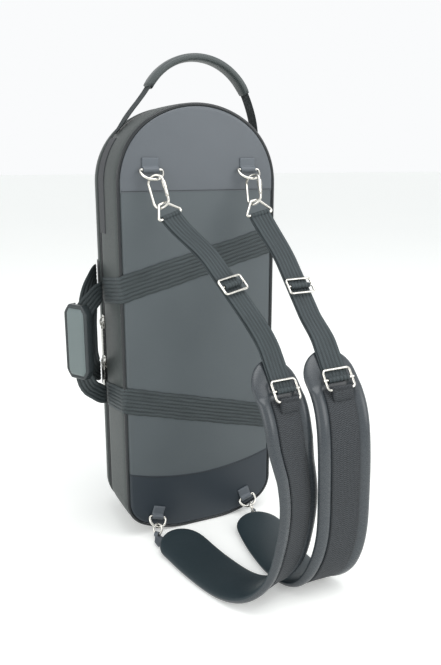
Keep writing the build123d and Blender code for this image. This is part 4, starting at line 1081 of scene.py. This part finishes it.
SEAM_IN, SEAM_LIFT = 0.0026, STRIP_T / 2 - 0.0003
for name, parts in STRAPS.items():
    loop = parts["loop"]
    up = -loop[2]
    seat = loop[0] + outward(loop) * PAD_SEAT - loop[1] * SEAT_SHIFT
    points = PAD_POINTS[name] + [seat - up * SEAT_RUN, seat, seat + up * TOP_RUN - loop[1] * TOP_LEAN]
    path = PadPath(points, PAD_SIDES[name])
    pad = pad_body(f"{name}_pad_body", path)
    clad(pad, pad_outer, "pad_leather", f"{name}_strap", f"{name}_pad")
    line_back(pad, path)
    start, end = STRIP_LOW + 0.0005, path.length - STRIP_HIGH - 0.0005
    frames = []
    for s in np.linspace(start, end, 140):
        place, side, way = path.frame(s)
        inner = np.cross(way, side)
        frames.append((place - inner * (PAD_T / 2 - STRIP_T / 2 + 0.0002), side, way))
    profile = []
    for i in range(33):
        u = (i / 32 - 0.5) * STRIP_W
        groove = 0.0004 * np.exp(-(((abs(u) - STRIP_W / 2) / 0.0006) ** 2))
        edge = min(1.0, (STRIP_W / 2 - abs(u)) / 0.0012 + 0.35)
        profile.append((u, STRIP_T / 2 * edge - groove))
    profile += [(u, -STRIP_T / 2) for u, _ in reversed(profile)]
    profile = [(-u, -h) for u, h in profile]
    strip = sweep(f"{name}_strip_weave", frames, profile)
    clad(strip, twill.material, "pad_strip", f"{name}_strap", f"{name}_pad_strip")
    seams = []
    for u in (SEAM_IN - STRIP_W / 2, STRIP_W / 2 - SEAM_IN):
        seams.append([place - np.cross(way, side) * SEAM_LIFT + side * u for place, side, way in frames])
    sew(f"{name}_strip_stitches", seams, f"{name}_strap", 0.004)
    out, down, side = outward(loop), loop[2], loop[1]
    bar = loop[0] + out * LOOP_OFFSET + down * LOOP_HALF_H
    rim = [(0.0035 * sin(a), 0.0035 * cos(a)) for a in np.linspace(-0.1, -pi, 10)]
    rim += [(0.006, -0.0047), (0.0105, -0.0056), (0.0128, -0.0058), (0.0134, -0.005), (0.0126, -0.004)]
    rim += [(0.0098, -0.0016), (0.0066, 0.001), (0.003, 0.003)]
    tab_loops = []
    for u in np.linspace(-TAB_W / 2, TAB_W / 2, 27):
        pinch = 1 - 0.12 * max(0.0, (abs(u) - TAB_W / 2 + 0.001) / 0.001)
        tab_loops.append([bar + side * u + (down * d + out * h) * pinch for d, h in rim])
    tab = new_piece(f"{name}_strip_tab", *loops_mesh(tab_loops))
    steps = [sqrt((a[0] - b[0]) ** 2 + (a[1] - b[1]) ** 2) for a, b in zip(rim[1:], rim)]
    around_rim = np.concatenate(([0.0], np.cumsum(steps)))

    def on_tab(i):
        place = np.array(tab.data.vertices[i].co) - bar
        gaps = [(place.dot(down) - d) ** 2 + (place.dot(out) - h) ** 2 for d, h in rim]
        return place.dot(side), around_rim[int(np.argmin(gaps))]

    map_weave(tab, on_tab)
    clad(tab, twill.material, "pad_strip", f"{name}_strap")


# --- Soft pieces that keep the CAD shape ---
# Folded tabs, cloth leaves, plush-covered foam: the same closed form, remeshed so that every edge is
# rolled over as covered foam or folded leather is.
def soft_copy(node, body, material, slot, voxel, rounds, plump=0.0):
    """A remeshed, softened stand-in for a soft CAD node."""
    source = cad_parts[node]
    mesh = source.data.copy()
    mesh.transform(source.matrix_world)
    piece = put(node + "_soft", mesh)
    work = bmesh.new()
    work.from_mesh(mesh)
    bmesh.ops.remove_doubles(work, verts=work.verts, dist=0.00001)
    work.to_mesh(mesh)
    work.free()
    for kind, settings in (
        ("REMESH", {"mode": "VOXEL", "voxel_size": voxel, "use_smooth_shade": True}),
        ("SMOOTH", {"factor": 0.5, "iterations": rounds}),
        ("DISPLACE", {"strength": plump, "mid_level": 0.0}),
    ):
        layer = piece.modifiers.new(kind.lower(), kind)
        for setting, value in settings.items():
            setattr(layer, setting, value)
    made = baked(piece)
    piece.modifiers.clear()
    piece.data = made
    clad(piece, material, slot, body, node)


def plush_finish(name, deep, pile):
    """Short-pile plush: soft lay marks over a fine, sparkling nap."""
    plush = Finish(name)
    lay = plush.noise(22.0, 3.0)
    nap = plush.noise(1800.0, 2.0)
    plush.set(
        Base_Color=plush.mix(lay * 0.7 + nap * 0.4 - 0.1, deep, pile),
        Roughness=0.95,
        Normal=plush.bump(nap + lay * 0.5, 0.6, 0.0008),
        Specular_IOR_Level=0.15,
    )
    return plush.material


tab_leather = leather("tab_leather", paint(92, 98, 104), 0.0006, 0.0001, 0.4)
for node in ("upper_ring_tabs", "lower_ring_tabs"):
    soft_copy(node, "shell", tab_leather, "tab_leather", 0.0007, 3, 0.0002)
for name in STRAPS:
    soft_copy(f"{name}_foot_tab", f"{name}_strap", tab_leather, "tab_leather", 0.0006, 2, 0.0002)

plush = plush_finish("plush", paint(30, 32, 38), paint(66, 70, 80))
for node in ("shell_insert", "instrument_saddles", "mouthpiece_cradle"):
    soft_copy(node, "shell", plush, "plush", 0.0028 if node == "shell_insert" else 0.0016, 3)
lining = plush_finish("lining", paint(28, 30, 36), paint(60, 64, 74))
soft_copy("lid_lining", "lid", lining, "lining", 0.0026, 3)

hinge_cloth = leather("hinge_cloth", paint(52, 54, 57), 0.0008, 0.00012, 0.6)
for node, body, slot, voxel in (
    ("shell_hinge_cloth", "shell", "hinge_cloth", 0.0008),
    ("lid_hinge_cloth", "lid", "hinge_cloth", 0.0008),
    ("lid_loop_patches", "lid", "webbing", 0.0007),
    ("handle_side_webbing", "shell", "webbing", 0.0008),
):
    soft_copy(node, body, hinge_cloth, slot, voxel, 1)


# --- Zip ---
# Two woven tapes, and two rows of short teeth that run round the case along the seam between them.
tape = Finish("zip_tape_weave")
grain = tape.noise(1600.0, 2.0)
tape.set(
    Base_Color=tape.mix(grain, paint(22, 23, 24), paint(58, 60, 63)),
    Roughness=0.75,
    Normal=tape.bump(grain, 0.5, 0.0003),
)
TAPE_W, TAPE_T, TAPE_INSET, TAPE_GAP = 0.006, 0.002, 0.0014, 0.0002
for body, sign in (("shell", -1), ("lid", 1)):
    near, far = PARTING_Y + sign * TAPE_GAP, PARTING_Y + sign * (TAPE_GAP + TAPE_W)
    middle, low = (near + far) / 2, TAPE_INSET + TAPE_T
    bead = near + sign * 0.0012
    stations = [(near, low), (near, TAPE_INSET + 0.0003), (near + sign * 0.0004, TAPE_INSET)]
    stations += [(bead, TAPE_INSET + 0.0001), (bead + sign * 0.0006, TAPE_INSET + 0.0006)]
    stations += [(middle, TAPE_INSET + 0.0005), (far, TAPE_INSET + 0.0008), (far, low)]
    leaf = ring_piece(f"{body}_tape_leaf", stations)
    clad(leaf, tape.material, "zip_tape", body, f"{body}_zip_tape")

coil = Finish("zip_coil")
coil.set(Base_Color=paint(40, 41, 43), Roughness=0.4)
TOOTH_INSET, TOOTH_PITCH = 0.0014, 0.0017
seam_line = outline_at(PARTING_Y, TOOTH_INSET)
seam_line.append(seam_line[0])
for body, offset in (("shell", -0.0009), ("lid", 0.0009)):
    verts, faces = capsule_mesh(0.0026, 0.0005)
    tooth = new_piece("tooth_shape", [(z, x + offset, y) for x, y, z in verts], faces)
    sew(f"{body}_coil", [seam_line], body, TOOTH_PITCH, tooth, coil.material)
    bpy.data.objects.remove(tooth)


# --- Nickel wire and zip metal ---
# Bright nickel plate on bent wire: tight highlights, faint draw lines and a little haze.
def plated(name, colour, haze):
    metal = Finish(name)
    cloud = metal.noise(160.0, 4.0)
    draw = metal.noise(2600.0, 1.0)
    metal.set(
        Base_Color=metal.mix(cloud, tuple(c * 0.86 for c in colour), colour),
        Metallic=1.0,
        Roughness=cloud * 0.14 + haze,
        Normal=metal.bump(draw, 0.08, 0.0001),
    )
    return metal.material


def dress(material, *nodes):
    """Give carried-over CAD pieces a finish of their own."""
    for node in nodes:
        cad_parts[node].data.materials.clear()
        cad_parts[node].data.materials.append(material)


nickel = plated("nickel", paint(214, 212, 205), 0.14)
WIRES = "upper_d_ring lower_d_ring clip clip_gate triangle_ring tri_glide pad_loop foot_ring".split()
for name in STRAPS:
    dress(nickel, *[f"{name}_{wire}" for wire in WIRES])
zip_metal = plated("zip_metal", paint(196, 195, 190), 0.2)
dress(zip_metal, "upper_slider", "lower_slider", "upper_pull", "lower_pull")


# --- Grip wrap ---
# The carry handle's stiff leather panel: a raised, padded field inside a stitched border, with two
# flanges that hug the webbing's edges.
WRAP_W, WRAP_H = 0.042, 0.104
WRAP_Z, WRAP_SEAT = 0.286, 0.0014
WRAP_SEAM_IN, WRAP_CUT, WRAP_ROLL = 0.0048, 0.013, 0.0022
wrap_out = np.array((-cos(radians(SHELL_LEAN)), -sin(radians(SHELL_LEAN)), 0.0))
wrap_side = np.array((wrap_out[1], -wrap_out[0], 0.0))
wrap_centre = np.array((*SHELL_ROOT, WRAP_Z)) + wrap_out * (SHELL_REACH + LOOP_T / 2 + WRAP_SEAT)


def wrap_half(z):
    """Half width of the panel at a height: an octagon with soft corners."""
    cut = max(0.0, abs(z) - (WRAP_H / 2 - WRAP_CUT)) / WRAP_CUT
    return WRAP_W / 2 - 0.009 * cut**1.35


def wrap_height(u, z):
    """Height of the outer face: raised field, stitched groove, rolled edge."""
    inside = min(wrap_half(z) - abs(u), WRAP_H / 2 - abs(z))
    near = min(1.0, max(0.0, inside) / WRAP_ROLL)
    roll = sqrt(near * (2 - near))
    field = min(1.0, max(0.0, (inside - 0.0055) / 0.003))
    groove = np.exp(-(((inside - WRAP_SEAM_IN) / 0.0009) ** 2))
    return 0.004 + 0.0026 * roll + 0.0014 * field * field * (3 - 2 * field) - 0.0009 * groove


wrap_loops = []
for z in [WRAP_H / 2 * sin(pi / 2 * t) for t in np.linspace(-1, 1, 81)]:
    half = wrap_half(z)
    points = [(-half * cos(pi * i / 48), wrap_height(-half * cos(pi * i / 48), z)) for i in range(49)]
    step = half - 0.0034
    flange = [(half, 0.002), (half, -0.0055), (half - 0.001, -0.006), (step + 0.0006, -0.006)]
    flange += [(step, -0.005), (step, 0.0)]
    points += flange + [(-u, h) for u, h in reversed(flange)]
    wrap_loops.append([wrap_centre + wrap_side * u + wrap_out * h + np.array((0, 0, z)) for u, h in points])
wrap = new_piece("grip_wrap_leather", *loops_mesh(wrap_loops))
wrap_field_leather_painted_light = leather("wrap_field_leather_painted_light", paint(106, 117, 117), 0.0006, 0.0001, 0.34)
clad(wrap, wrap_field_leather_painted_light, "grip_leather", "carry_handle", "grip_wrap")
# Painted light and shade: the raised field keeps a lighter copy of the leather, and the border, rolled edge,
# flanges and back get a darker copy.
wrap.data.materials.append(leather("wrap_border_painted_shade", paint(50, 56, 58), 0.0006, 0.0001, 0.3))
for polygon in wrap.data.polygons:
    offset = np.array(polygon.center) - wrap_centre
    u, h, z = offset.dot(wrap_side), offset.dot(wrap_out), offset[2]
    field = min(wrap_half(z) - abs(u), WRAP_H / 2 - abs(z)) > 0.0052 and h > 0.001
    polygon.material_index = 0 if field else 1
border = []
for i in range(121):
    a = 2 * pi * i / 120
    z = (WRAP_H / 2 - WRAP_SEAM_IN) * max(-1, min(1, 1.25 * sin(a)))
    u = max(-1, min(1, 1.9 * cos(a))) * (wrap_half(z) - WRAP_SEAM_IN)
    border.append(wrap_centre + wrap_side * u + wrap_out * (wrap_height(u, z) + 0.0001) + np.array((0, 0, z)))
sew("wrap_stitches", [border], "carry_handle", 0.0034)


# --- Sizes ---
bpy.data.objects.remove(stitch_shape)
visual_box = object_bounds()
for label, corners in (("cad", cad_box), ("visual", visual_box)):
    label + " " + " ".join(f"{value:.4f}" for corner in corners for value in corner) + "\n"
